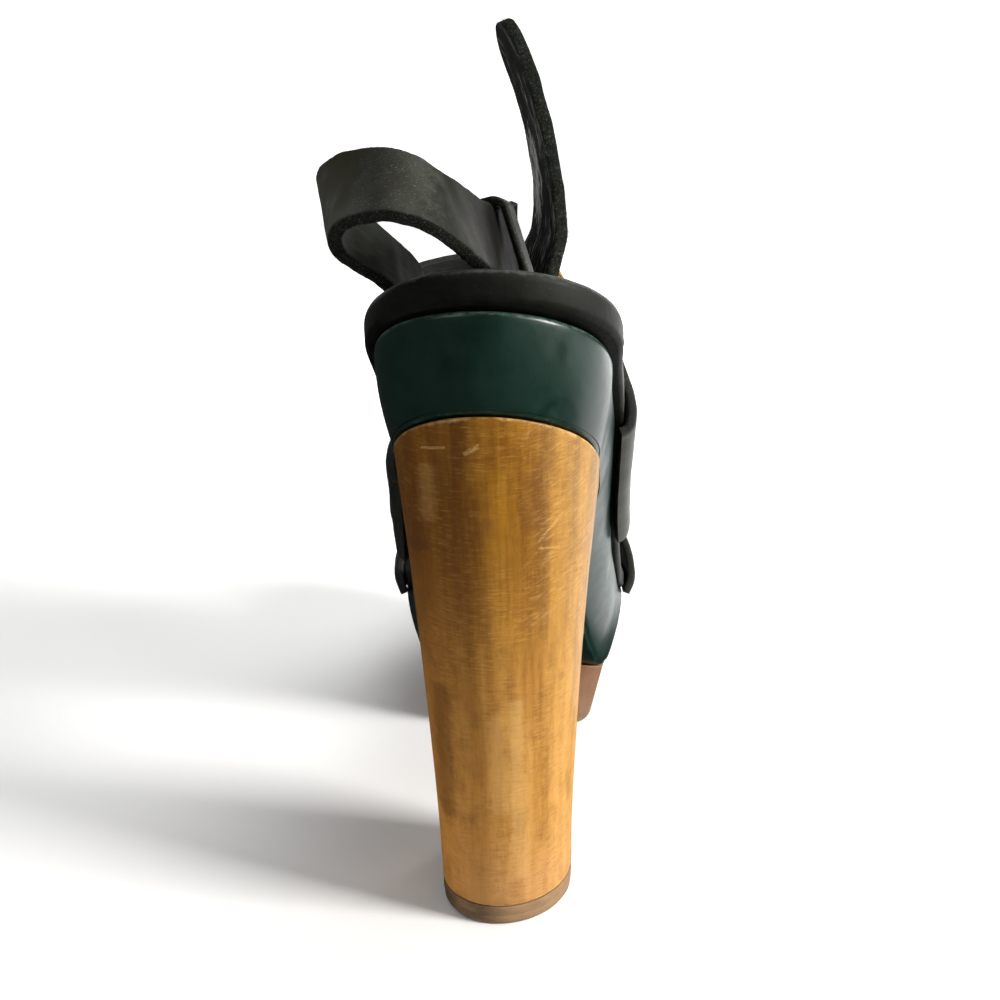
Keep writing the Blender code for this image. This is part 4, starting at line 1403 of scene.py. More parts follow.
@dataclass
class Forefoot:
    """Wooden block under the forefoot and its rubber tread."""

    line: SoleLine
    back: float = 76.5
    back_round: float = 20.0
    back_power: float = 3.2
    lean: float = 3.2
    edge: float = 1.2
    seat_gap: float = 0.55
    tread_thick: float = 2.2
    tread_inset: float = 0.5
    spring_start: float = 146.0
    spring_rise: float = 6.5
    edge_radius: float = 0.5
    ball: float = 110.0
    end_steps: int = 30
    middle_steps: int = 40
    wall_steps: int = 14

    def outline(self) -> Array:
        """Plan outline of the block where it meets the midsole.

        Returns:
            Points in plan.
        """
        inset = float(self.line.below(self.ball, "inset") + self.line.below(self.ball, "tuck")) + self.edge
        toe_edge = self.line.toe_end - inset
        rear = end_places(self.back, self.back_round, self.end_steps, 1)
        toe = end_places(toe_edge, self.line.toe_round, self.end_steps, -1)[::-1]
        places = np.concatenate([rear, np.linspace(rear[-1], toe[0], self.middle_steps)[1:-1], toe])
        ends = rounded_end(places - self.back, self.back_round, self.back_power)
        ends *= rounded_end(toe_edge - places, self.line.toe_round, self.line.toe_power)
        half = (self.line.value(places, "half") - inset) * ends
        return closed_plan(places, self.line.value(places, "centre"), half)

    def ground(self, y: Array) -> Array:
        """Height of the tread's underside: flat, then the toe spring."""
        ahead = np.clip((y - self.spring_start) / (self.line.toe_end - self.spring_start), 0.0, 1.0)
        return self.spring_rise * ahead**2

    def build_block(self) -> Surface:
        """Closed surface of the block.

        Returns:
            The surface.
        """
        outline = self.outline()
        rings = []
        radius = self.edge_radius
        turns = quarter_turn(5)
        levels = [(0.0, radius * (1 - math.sin(a)), -radius * (1 - math.cos(a)), 1.0) for a in turns]
        levels += [(drop, 0.0, 0.0, 0.1) for drop in np.linspace(0.0, 1.0, self.wall_steps + 2)[1:-1]]
        levels += [(1.0, radius * (1 - math.cos(a)), radius * (1 - math.sin(a)), 1.0) for a in turns]
        for drop, inset, lift, _ in levels:
            plan = inset_outline(outline, self.lean * drop + inset)
            top = self.line.below(plan[:, 1], "z") - self.seat_gap
            low = self.ground(plan[:, 1]) + self.tread_thick + GAP
            rings.append(np.column_stack([plan, top + (low - top) * drop + lift]))
        return stack_surface(rings, [near for *_, near in levels])

    def build_tread(self) -> Surface:
        """Closed surface of the tread with rubbed edges.

        Returns:
            The surface.
        """
        outline = self.outline()
        levels = ((self.tread_thick, 0.15, 0.5), (2.05, 0.0, 0.4), (1.4, 0.0, 0.1), (0.6, 0.0, 0.3),
                  (0.2, 0.12, 0.8), (0.0, 0.5, 1.0))
        rings = []
        for rise, inset, _ in levels:
            plan = inset_outline(outline, self.lean + self.tread_inset + inset)
            rings.append(np.column_stack([plan, self.ground(plan[:, 1]) + rise]))
        return stack_surface(rings, [near for _, _, near in levels])

    def dress(self, wood: Material, rubber: Material) -> None:
        """Make the pieces and let them ride."""
        place_piece(make_mesh("forefoot_wood", self.build_block(), wood), "forefoot_block")
        place_piece(make_mesh("forefoot_sole", self.build_tread(), rubber), "forefoot_tread")


@dataclass
class Leather:
    """Sheet of leather of even thickness with rounded, roughly cut edges."""

    thick: float
    corner: float = 0.55
    rough: float = 0.10
    bulge: float = 0.12
    jag_reach: float = 0.7
    torn: float = 1.4
    uneven: float = 0.04
    cut_reach: float = 0.42
    edge_reach: float = 1.8
    flesh: Face = Face.UNDER
    seed: int = 40

    def shares(self, width: float, count: int) -> Array:
        """Places across the sheet from edge to edge, close together at the rounded corners.

        Args:
            width: Width of the sheet.
            count: Places between the corners.

        Returns:
            Shares of the width.
        """
        turn = self.corner * (1 - np.cos(quarter_turn(5))) / width
        inside = np.linspace(turn[-1], 1 - turn[-1], count)[1:-1]
        return np.concatenate([turn, inside, 1 - turn[::-1]])

    def build(self, middle: Array, out: Array, across: Array, widths: Array, shares: Array) -> Surface:
        """Closed surface round a grid of points in the leather's middle.

        Args:
            middle: Grid of points, one row for each share across and one column for each place along.
            out: Direction out of the upper face at each point.
            across: Direction across the sheet at each point.
            widths: Width of the sheet at each column.
            shares: Place across of each row.

        Returns:
            The closed surface with its painted values.
        """
        rows, columns = middle.shape[:2]
        reach = np.minimum(shares, 1 - shares)[:, None] * widths[None, :]
        sign = np.where(shares < 0.5, -1.0, 1.0)[:, None]
        jag = Ripple(1.3, self.seed).at(middle) * 0.5 + Ripple(5.0, self.seed + 1).at(middle)
        middle = middle + across * (sign * jag * self.rough * np.exp(-reach / self.jag_reach))[:, :, None]
        inner = np.clip(self.corner - reach, 0.0, self.corner)
        half = self.thick / 2 - self.corner + np.sqrt(self.corner**2 - inner**2)
        half = half + Ripple(6.0, self.seed + 2).at(middle) * self.uneven
        upper, lower = middle + out * half[:, :, None], middle - out * half[:, :, None]
        torn = Ripple(0.9, self.seed + 3).at(middle[[0, -1]]) * self.rough * self.torn + self.bulge
        rims = middle[[0, -1]] + across[[0, -1]] * np.array([-1.0, 1.0])[:, None, None] * torn[:, :, None]
        points = np.concatenate([upper.reshape(-1, 3), lower.reshape(-1, 3), rims.reshape(-1, 3)])
        surface = Surface(points, self.faces(rows, columns))
        self.add_paint(surface, middle, reach, shares, widths)
        return surface

    @staticmethod
    def faces(rows: int, columns: int) -> list[list[int]]:
        """Faces of the two sides, the cut edges and the ends.

        Args:
            rows: Points across.
            columns: Points along.

        Returns:
            The faces.
        """
        size = rows * columns
        grid = np.arange(size).reshape(rows, columns)
        quads = np.stack([grid[:-1, :-1], grid[:-1, 1:], grid[1:, 1:], grid[1:, :-1]], axis=-1).reshape(-1, 4)
        faces = quads.tolist() + (quads[:, ::-1] + size).tolist()
        near, far = np.arange(columns) + 2 * size, np.arange(columns) + 2 * size + columns
        for edge, rim in ((grid[0], near), (grid[-1], far)):
            for a, b in ((edge, rim), (rim, edge + size)):
                faces += np.stack([a[:-1], a[1:], b[1:], b[:-1]], axis=-1).tolist()
        for column in (0, -1):
            upper, lower = grid[:, column], grid[:, column] + size
            faces += np.stack([upper[:-1], upper[1:], lower[1:], lower[:-1]], axis=-1).tolist()
            faces += [[int(upper[0]), int(lower[0]), int(near[column])]]
            faces += [[int(upper[-1]), int(far[column]), int(lower[-1])]]
        return faces

    def add_paint(self, surface: Surface, middle: Array, reach: Array, shares: Array, widths: Array) -> None:
        """Paint the cut edges, the flesh side, nearness to the edge and the place along and across.

        Args:
            surface: The surface to paint.
            middle: Grid of points in the leather's middle.
            reach: Distance of each point from the nearer edge.
            shares: Place across of each row.
            widths: Width at each column.
        """
        rows, columns = reach.shape
        size = rows * columns
        along = np.broadcast_to(lengths_along(middle[rows // 2]), (rows, columns))
        over = shares[:, None] * widths[None, :]
        depth = np.full((rows, columns), self.thick / 2)
        place = np.stack([self.on_all(values) for values in (along, over, depth)], axis=1)
        place[size: 2 * size, 2] *= -1.0
        edge = self.on_all(np.exp(-reach / self.edge_reach))
        cut = self.on_all(np.clip(1.25 - reach / self.cut_reach, 0.0, 1.0))
        cut[2 * size:] = 1.0
        flesh = np.zeros(len(surface.points))
        flesh[slice(size) if self.flesh is Face.UPPER else slice(size, 2 * size)] = 1.0
        surface.paint.update(cut=cut, edge=edge, flesh=flesh, strap_place=place)

    @staticmethod
    def on_all(values: Array) -> Array:
        """Values of a grid for the points of the upper face, the under face and the two rims."""
        return np.concatenate([values.ravel(), values.ravel(), values[[0, -1]].ravel()])


@dataclass(frozen=True)
class Crease:
    """Soft trough or ridge across leather, from one place to another in shares along and across."""

    start: tuple[float, float]
    end: tuple[float, float]
    width: float
    depth: float


# Creases of each piece: start, end, width and depth
SLING_CREASES = (
    Crease((0.405, 0.02), (0.425, 0.98), 1.5, 0.20),
    Crease((0.470, 0.10), (0.455, 0.90), 1.8, 0.18),
    Crease((0.690, 0.05), (0.660, 0.70), 2.2, 0.22),
    Crease((0.735, 0.30), (0.715, 0.98), 1.6, 0.16),
    Crease((0.905, 0.04), (0.915, 0.96), 1.2, 0.16),
)
ANKLE_CREASES = (
    Crease((0.285, 0.04), (0.295, 0.96), 1.4, 0.22),
    Crease((0.335, 0.10), (0.325, 0.90), 1.2, 0.16),
    Crease((0.470, 0.02), (0.455, 0.75), 1.6, 0.14),
)
VAMP_CREASES = (
    Crease((0.150, 0.06), (0.205, 0.80), 2.4, 0.40),
    Crease((0.235, 0.02), (0.265, 0.60), 2.0, 0.30),
    Crease((0.330, 0.25), (0.350, 0.98), 2.6, 0.30),
    Crease((0.640, 0.02), (0.610, 0.70), 2.6, 0.34),
    Crease((0.760, 0.30), (0.720, 0.98), 2.2, 0.30),
    Crease((0.840, 0.04), (0.815, 0.75), 2.2, 0.34),
)
TOE_CREASES = (
    Crease((0.200, 0.05), (0.250, 0.85), 2.2, 0.28),
    Crease((0.420, 0.10), (0.440, 0.95), 2.8, 0.22),
    Crease((0.690, 0.05), (0.650, 0.80), 2.4, 0.28),
)


def crease_field(creases: Sequence[Crease], along: Array, across: Array, size: tuple[float, float]) -> Array:
    """Lift of the leather's middle at each point of its grid.

    Args:
        creases: The creases of the piece.
        along: Share along the piece of each point.
        across: Share across the piece of each point.
        size: Length and width of the piece.

    Returns:
        The lift, less than zero in a trough.
    """
    lift = np.zeros_like(along)
    point = np.stack([along * size[0], across * size[1]], axis=-1)
    for crease in creases:
        start, end = np.array(crease.start) * size, np.array(crease.end) * size
        line = end - start
        share = np.clip(((point - start) @ line) / (line @ line), 0.0, 1.0)
        distance = np.linalg.norm(point - start - share[..., None] * line, axis=-1)
        fade = np.sin(np.clip(share, 0.04, 0.96) * math.pi) ** 0.6
        trough = np.exp(-((distance / crease.width) ** 2))
        shoulder = np.exp(-(((distance - 1.9 * crease.width) / (0.8 * crease.width)) ** 2))
        lift -= crease.depth * fade * (trough - 0.35 * shoulder)
    return lift


@dataclass
class Band:
    """Leather band over the foot, from the outer base over the instep to the inner base."""

    name: str
    node: str
    rows: tuple
    line: SoleLine
    creases: tuple[Crease, ...] = ()
    thick: float = 2.6
    end_gap: float = 1.5
    instep_shift: float = -17.0
    outer_shoulder: float = -15.0
    outer_waist: float = -3.5
    inner_shoulder: float = 3.0
    inner_waist: float = 4.0
    waist_share: float = 0.45
    shoulder_share: float = 0.12
    usual_width: float = 36.0
    rows_across: int = 44
    columns: int = 210
    seed: int = 50

    def side_points(self, station: float, side: Side) -> list[Point]:
        """Points up a band's side, its lower end stopping at the midsole's wall."""
        stop = self.end_gap - float(self.line.below(station, "inset"))
        return [self.line.beside(station, max(reach, stop), rise, side) for reach, rise in BAND_SIDE_ROWS]

    def section(self, outer: float, instep: float, inner: float) -> Array:
        """Points of the band's middle line from the outer base over the instep to the inner base.

        Args:
            outer: Station at the outer base.
            instep: Station over the instep.
            inner: Station at the inner base.

        Returns:
            Evenly spaced points.
        """
        line = self.line
        height = float(line.instep(instep, "height"))
        points = self.side_points(outer, Side.OUTER)
        waist = outer + (instep - outer) * self.waist_share
        shoulder = instep + (outer - instep) * self.shoulder_share
        points.append(line.beside(waist, self.outer_waist, height * 0.40, Side.OUTER))
        points.append(line.beside(shoulder, self.outer_shoulder, height * 0.80, Side.OUTER))
        lean = math.radians(float(line.instep(instep, "lean")))
        top = float(line.value(instep, "top")) + height * math.cos(lean)
        points.append((self.instep_shift, instep + height * math.sin(lean), top))
        waist = inner + (instep - inner) * self.waist_share
        shoulder = instep + (inner - instep) * self.shoulder_share
        points.append(line.beside(shoulder, self.inner_shoulder, height * 0.90, Side.INNER))
        points.append(line.beside(waist, self.inner_waist, height * 0.50, Side.INNER))
        points += reversed(self.side_points(inner, Side.INNER))
        return smooth_curve(points, self.columns)

    def build(self) -> Surface:
        """Closed surface of the band.

        Returns:
            The surface.
        """
        rear, front = np.array(self.rows)
        leather = Leather(self.thick, corner=0.7, rough=0.05, seed=self.seed)
        shares = leather.shares(self.usual_width, self.rows_across)
        grid = np.array([self.section(*(rear + (front - rear) * t)) for t in shares])
        along, across = unit(np.gradient(grid, axis=1)), np.gradient(grid, shares, axis=0)
        widths = np.linalg.norm(np.diff(grid, axis=0), axis=2).sum(axis=0)
        across = unit(across - along * np.sum(across * along, axis=2, keepdims=True))
        out = np.cross(across, along)
        share_along, share_across = np.meshgrid(np.linspace(0.0, 1.0, self.columns), shares)
        length = float(lengths_along(grid[len(shares) // 2])[-1])
        lift = crease_field(self.creases, share_along, share_across, (length, float(widths.mean())))
        lift += Ripple(26.0, self.seed + 7).at(grid) * 0.18
        ends = np.clip(np.minimum(share_along, 1 - share_along) / 0.08, 0.0, 1.0)
        self.grid = grid + out * (lift * ends)[:, :, None]
        self.out = out
        return leather.build(self.grid, out, across, widths, shares)

    def nearest(self, point: Array) -> tuple[Array, Array]:
        """Point of the band's outer face nearest a place.

        Args:
            point: The place.

        Returns:
            The point and the direction out of the leather there.
        """
        flat = self.grid.reshape(-1, 3)
        index = int(np.argmin(np.sum((flat - point) ** 2, axis=1)))
        out = self.out.reshape(-1, 3)[index]
        return flat[index] + out * self.thick / 2, out

    def dress(self, finish: Material) -> None:
        """Make the piece and let it ride."""
        place_piece(make_mesh(self.name, self.build(), finish), self.node)


@dataclass
class StrapPath:
    """Middle line of a strap with its directions along, across and out of the leather."""

    rows: Sequence[Sequence[float]]
    count: int
    soften: tuple[float, float] | None = None

    def __post_init__(self) -> None:
        """Work out the frames."""
        curve = smooth_curve(self.rows, self.count)
        if self.soften is not None:
            parts = zip((curve[:, :3], curve[:, 3:]), self.soften)
            curve = np.column_stack([softened(columns, reach) for columns, reach in parts])
        self.middle = curve[:, :3]
        self.along = unit(np.gradient(self.middle, axis=0))
        across = curve[:, 3:6] - self.along * np.sum(curve[:, 3:6] * self.along, axis=1, keepdims=True)
        self.across = unit(across)
        self.out = np.cross(self.along, self.across)
        self.length = float(lengths_along(self.middle)[-1])


@dataclass
class Strap:
    """Cut leather strap along a path."""

    name: str
    node: str
    path: StrapPath
    leather: Leather
    width: float = STRAP_WIDTH
    creases: tuple[Crease, ...] = ()
    round_start: float = 0.0
    round_end: float = 0.0
    rows_across: int = 26
    wave_size: float = 18.0
    wave_height: float = 0.10

    def widths(self) -> Array:
        """Width at each place along, less at a rounded end.

        Returns:
            One width for each point of the path.
        """
        place = lengths_along(self.path.middle)
        widths = np.full(len(place), self.width)
        for distance, radius in ((place, self.round_start), (place[-1] - place, self.round_end)):
            if radius > 0.0:
                reach = np.clip(1 - distance / radius, 0.0, 0.985)
                widths = np.minimum(widths, self.width * np.sqrt(1 - reach**2))
        return widths

    def build(self) -> Surface:
        """Closed surface of the strap.

        Returns:
            The surface.
        """
        path = self.path
        shares = self.leather.shares(self.width, self.rows_across)
        widths = self.widths()
        offset = (shares[:, None] - 0.5) * widths[None, :]
        grid = path.middle[None] + path.across[None] * offset[:, :, None]
        share_along, share_across = np.meshgrid(np.linspace(0.0, 1.0, len(path.middle)), shares)
        lift = crease_field(self.creases, share_along, share_across, (path.length, self.width))
        lift += Ripple(self.wave_size, self.leather.seed + 9).at(grid) * self.wave_height
        out = np.broadcast_to(path.out, grid.shape)
        across = np.broadcast_to(path.across, grid.shape)
        return self.leather.build(grid + out * lift[:, :, None], out, across, widths, shares)

    def dress(self, finish: Material) -> Piece:
        """Make the piece and let it ride."""
        return place_piece(make_mesh(self.name, self.build(), finish), self.node)


def spread(path: Array, count: int) -> Array:
    """Evenly spaced points along a closed path.

    Args:
        path: Points of the path.
        count: How many points to give.

    Returns:
        The points.
    """
    closed = np.concatenate([path, path[:1]])
    place = lengths_along(closed)
    wanted = np.linspace(0.0, place[-1], count, endpoint=False)
    return np.stack([np.interp(wanted, place, closed[:, k]) for k in range(path.shape[1])], axis=1)


def tube_surface(path: Array, radius: float, sides: int, closed: bool) -> Surface:
    """Round wire along a flat path, its open ends rounded off.

    Args:
        path: Middle line of the wire.
        radius: Radius of the wire.
        sides: Points round the wire.
        closed: Whether the path closes on itself.

    Returns:
        The closed surface.
    """
    count = len(path)
    radii = np.full(count, radius)
    if closed:
        along = np.roll(path, -1, axis=0) - np.roll(path, 1, axis=0)
    else:
        along = np.gradient(path, axis=0)
        place = lengths_along(path)
        end = np.clip(1 - np.minimum(place, place[-1] - place) / radius, 0.0, 0.98)
        radii = radius * np.sqrt(1 - end**2)
    flat = unit(np.linalg.svd(path - path.mean(axis=0))[2][2])
    other = np.cross(unit(along), flat)
    turn = np.linspace(0.0, 2 * math.pi, sides, endpoint=False)
    circle = np.cos(turn)[None, :, None] * flat + np.sin(turn)[None, :, None] * other[:, None, :]
    points = (path[:, None, :] + circle * radii[:, None, None]).reshape(-1, 3)
    faces = ring_walls(sides, count, closed)
    if not closed:
        faces += [list(range(sides)), list(range((count - 1) * sides, count * sides))]
    return Surface(points, faces)


def cut_piece(target: Piece, cutter: Piece) -> None:
    """Take the cutter's space out of a piece and remove the cutter.

    Args:
        target: The piece.
        cutter: What is taken out of it.
    """
    modifier = target.modifiers.new("cut", "BOOLEAN")
    modifier.operation = "DIFFERENCE"
    modifier.solver = "EXACT"
    modifier.object = cutter
    graph = bpy.context.evaluated_depsgraph_get()
    result = bpy.data.meshes.new_from_object(target.evaluated_get(graph))
    target.modifiers.clear()
    old = target.data
    target.data = result
    bpy.data.meshes.remove(old)
    result.name = target.name
    bpy.data.objects.remove(cutter)


@dataclass
class Buckle:
    """Brass frame and prong, and the two straps that meet at it."""

    bar: Point = (18.5, 37.0, 138.0)
    up_hint: Point = (-0.41, -0.41, 0.82)
    along_hint: Point = (-0.43, 0.90, 0.00)
    inner_width: float = 18.2
    inner_length: float = 14.0
    wire: float = 1.25
    corner: float = 3.0
    prong_radius: float = 0.9
    prong_clear: float = 0.45
    prong_past: float = 0.8
    coil_start: float = 105.0
    fold_turn: tuple[float, float] = (215.0, -35.0)
    turn_steps: int = 13
    coil_steps: int = 40
    blade_steps: int = 26
    frame_points: int = 150
    frame_sides: int = 20
    prong_sides: int = 18
    fold_radius: float = 2.7
    slot_width: float = 4.4
    tab_width: float = 16.0
    tab_thick: float = 2.0

    def __post_init__(self) -> None:
        """Work out the buckle's own directions."""
        self.up = unit(np.array(self.up_hint))
        along = np.array(self.along_hint) - self.up * np.dot(self.along_hint, self.up)
        self.along = unit(along)
        self.out = np.cross(self.along, self.up)

    def point(self, along_bar: float, up_strap: float, outwards: float) -> Array:
        """Point in the buckle's own directions, from the middle of its lower bar."""
        return np.array(self.bar) + self.along * along_bar + self.up * up_strap + self.out * outwards

    def frame_path(self) -> Array:
        """Closed middle line of the frame.

        Returns:
            Points of the line.
        """
        half = self.inner_width / 2 + self.wire
        length = self.inner_length + 2 * self.wire
        path = []
        for across, up, turn in ((half, 0.0, 0), (half, length, 90), (-half, length, 180), (-half, 0.0, 270)):
            middle_a = across - math.copysign(self.corner, across)
            middle_u = up + (self.corner if up == 0.0 else -self.corner)
            for a in np.radians(np.linspace(turn - 90, turn, self.turn_steps)):
                path.append((middle_a + self.corner * math.cos(a), middle_u + self.corner * math.sin(a)))
        return np.array([self.point(a, u, 0.0) for a, u in spread(np.array(path), self.frame_points)])

    def prong_path(self) -> Array:
        """Middle line of the prong: its coil round the lower bar, then its blade.

        Returns:
            Points of the line.
        """
        level = self.wire + GAP + self.prong_radius
        end = self.inner_length + 3 * self.wire + self.prong_past
        turns = np.radians(np.linspace(self.coil_start, 360, self.coil_steps))
        coil = [self.point(0.0, level * math.sin(a), level * math.cos(a)) for a in turns]
        blade = [self.point(0.0, up, level) for up in np.linspace(0.0, end, self.blade_steps)[1:]]
        return np.array(coil + blade)

    def strap_rows(self) -> list[tuple[float, ...]]:
        """Path of the ankle strap through the frame and up to its free end."""
        return [*((*self.point(0.0, up, out), *self.along) for up, out in PASS_ROWS), *ANKLE_ROWS]

    def tab_rows(self) -> list[tuple[float, ...]]:
        """Path of the tab folded round the lower bar and down to the vamp band.

        Returns:
            Rows of a strap's path.
        """
        fold = np.radians(np.linspace(*self.fold_turn, self.turn_steps))
        turn = [(self.fold_radius * math.sin(a), self.fold_radius * math.cos(a)) for a in fold]
        folded = (*TAB_INNER_ROWS, *turn, *TAB_OUTER_ROWS)
        return [*((*self.point(0.0, up, out), *self.along) for up, out in folded), *TAB_ROWS]

    def slot_cutter(self) -> Piece:
        """Block that cuts the tab's slot for the prong.

        Returns:
            The block.
        """
        reach = self.fold_radius + self.tab_thick
        corners = [(a, u, o) for a in (-0.5, 0.5) for u in (-0.75, 1.0) for o in (-1.0, 1.0)]
        points = np.array([self.point(a * self.slot_width, u * reach, o * reach) for a, u, o in corners])
        faces = [[0, 1, 3, 2], [4, 6, 7, 5], [0, 4, 5, 1], [2, 3, 7, 6], [0, 2, 6, 4], [1, 5, 7, 3]]
        return make_mesh("slot_cutter", Surface(points, faces), bpy.data.materials.new("cutter"))

    def hole_cutter(self) -> Piece:
        """Rod that cuts the ankle strap's hole for the prong.

        Returns:
            The rod.
        """
        blade = self.prong_path()[self.coil_steps - 1:]
        line = blade[0] + (blade[-1] - blade[0]) * np.linspace(-0.1, 0.8, 12)[:, None]
        surface = tube_surface(line, self.prong_radius + self.prong_clear, self.frame_sides, False)
        return make_mesh("hole_cutter", surface, bpy.data.materials.new("cutter"))

    def dress(self, finish: Material) -> None:
        """Make the brass pieces and let them ride.

        Args:
            finish: The brass.
        """
        frame = tube_surface(self.frame_path(), self.wire, self.frame_sides, True)
        place_piece(make_mesh("buckle_wire", frame, finish), "buckle_frame")
        prong = tube_surface(self.prong_path(), self.prong_radius, self.prong_sides, False)
        place_piece(make_mesh("buckle_tongue", prong, finish), "buckle_prong")


@dataclass
class Keeper:
    """Leather loop round the sling strap."""

    path: StrapPath
    station: float = 0.85
    width: float = 5.5
    thick: float = 1.7
    inner: float = 7.0
    shift: float = 1.1
    taper: float = 2.0
    clear: float = 0.35
    corner: float = 1.2
    strap_width: float = STRAP_WIDTH
    edge_radius: float = 0.45
    layers: int = 5
    corner_steps: int = 9
    flat_steps: int = 6
    loop_points: int = 120
    uneven: float = 0.07

    def at_station(self, rows: Array) -> Array:
        """Row of the strap's path at the keeper's place."""
        index = self.station * (len(rows) - 1)
        return np.array([np.interp(index, np.arange(len(rows)), column) for column in rows.T])

    def loop(self, grow: float) -> Array:
        """Closed loop round the strap.

        Args:
            grow: Distance outside the loop's inner face.

        Returns:
            Evenly spaced points, across the strap and out of it.
        """
        half_wide, half_deep = self.strap_width / 2 + self.clear, self.inner / 2
        corner = self.corner + grow
        path = []
        for side, face, turn in ((1, 1, 0), (-1, 1, 90), (-1, -1, 180), (1, -1, 270)):
            for a in np.radians(np.linspace(turn, turn + 90, self.corner_steps)):
                wide = side * (half_wide - self.corner) + corner * math.cos(a)
                lean = self.taper * max(wide, 0.0) / half_wide if face > 0 else 0.0
                path.append((wide, face * (half_deep - self.corner) + corner * math.sin(a) - lean))
        return spread(np.array(path), self.loop_points)

    def profile(self) -> list[tuple[int, float]]:
        """Layer of the leather and place along the strap of each loop round its section.

        Returns:
            The loops in order round the section.
        """
        half, radius, last = self.width / 2, self.edge_radius, self.layers - 1
        edge = tuple(enumerate((radius, 0.08, 0.0, 0.08, radius)))
        flat = np.linspace(radius - half, half - radius, self.flat_steps + 2)[1:-1]
        near = [(layer, back - half) for layer, back in edge]
        far = [(layer, half - back) for layer, back in reversed(edge)]
        return [*near, *((last, place) for place in flat), *far, *((0, place) for place in flat[::-1])]

    def build(self) -> Surface:
        """Closed surface of the loop, with rounded cut edges.

        Returns:
            The surface.
        """
        path, profile = self.path, self.profile()
        middle = self.at_station(path.middle)
        along, across, out = (unit(self.at_station(rows)) for rows in (path.along, path.across, path.out))
        loops = [self.loop(grow) for grow in np.linspace(0.0, self.thick, self.layers)]
        rings = []
        for layer, place in profile:
            flat = loops[layer]
            rings.append(middle + across * flat[:, :1] + out * (flat[:, 1:] + self.shift) + along * place)
        count = len(rings[0])
        points = np.concatenate(rings)
        points += along * (Ripple(2.0, 71).at(points) * self.uneven)[:, None]
        layers, places = np.array(profile).T
        surface = Surface(points, ring_walls(count, len(rings), closed=True))
        surface.paint["cut"] = np.repeat((layers > 0) & (layers < self.layers - 1), count)
        surface.paint["edge"] = np.repeat(np.exp((np.abs(places) - self.width / 2) / 1.2), count)
        surface.paint["flesh"] = np.repeat(layers == 0, count)
        return surface

    def dress(self, finish: Material) -> Piece:
        """Make the piece and let it ride."""
        return place_piece(make_mesh("keeper_loop", self.build(), finish), "strap_keeper")


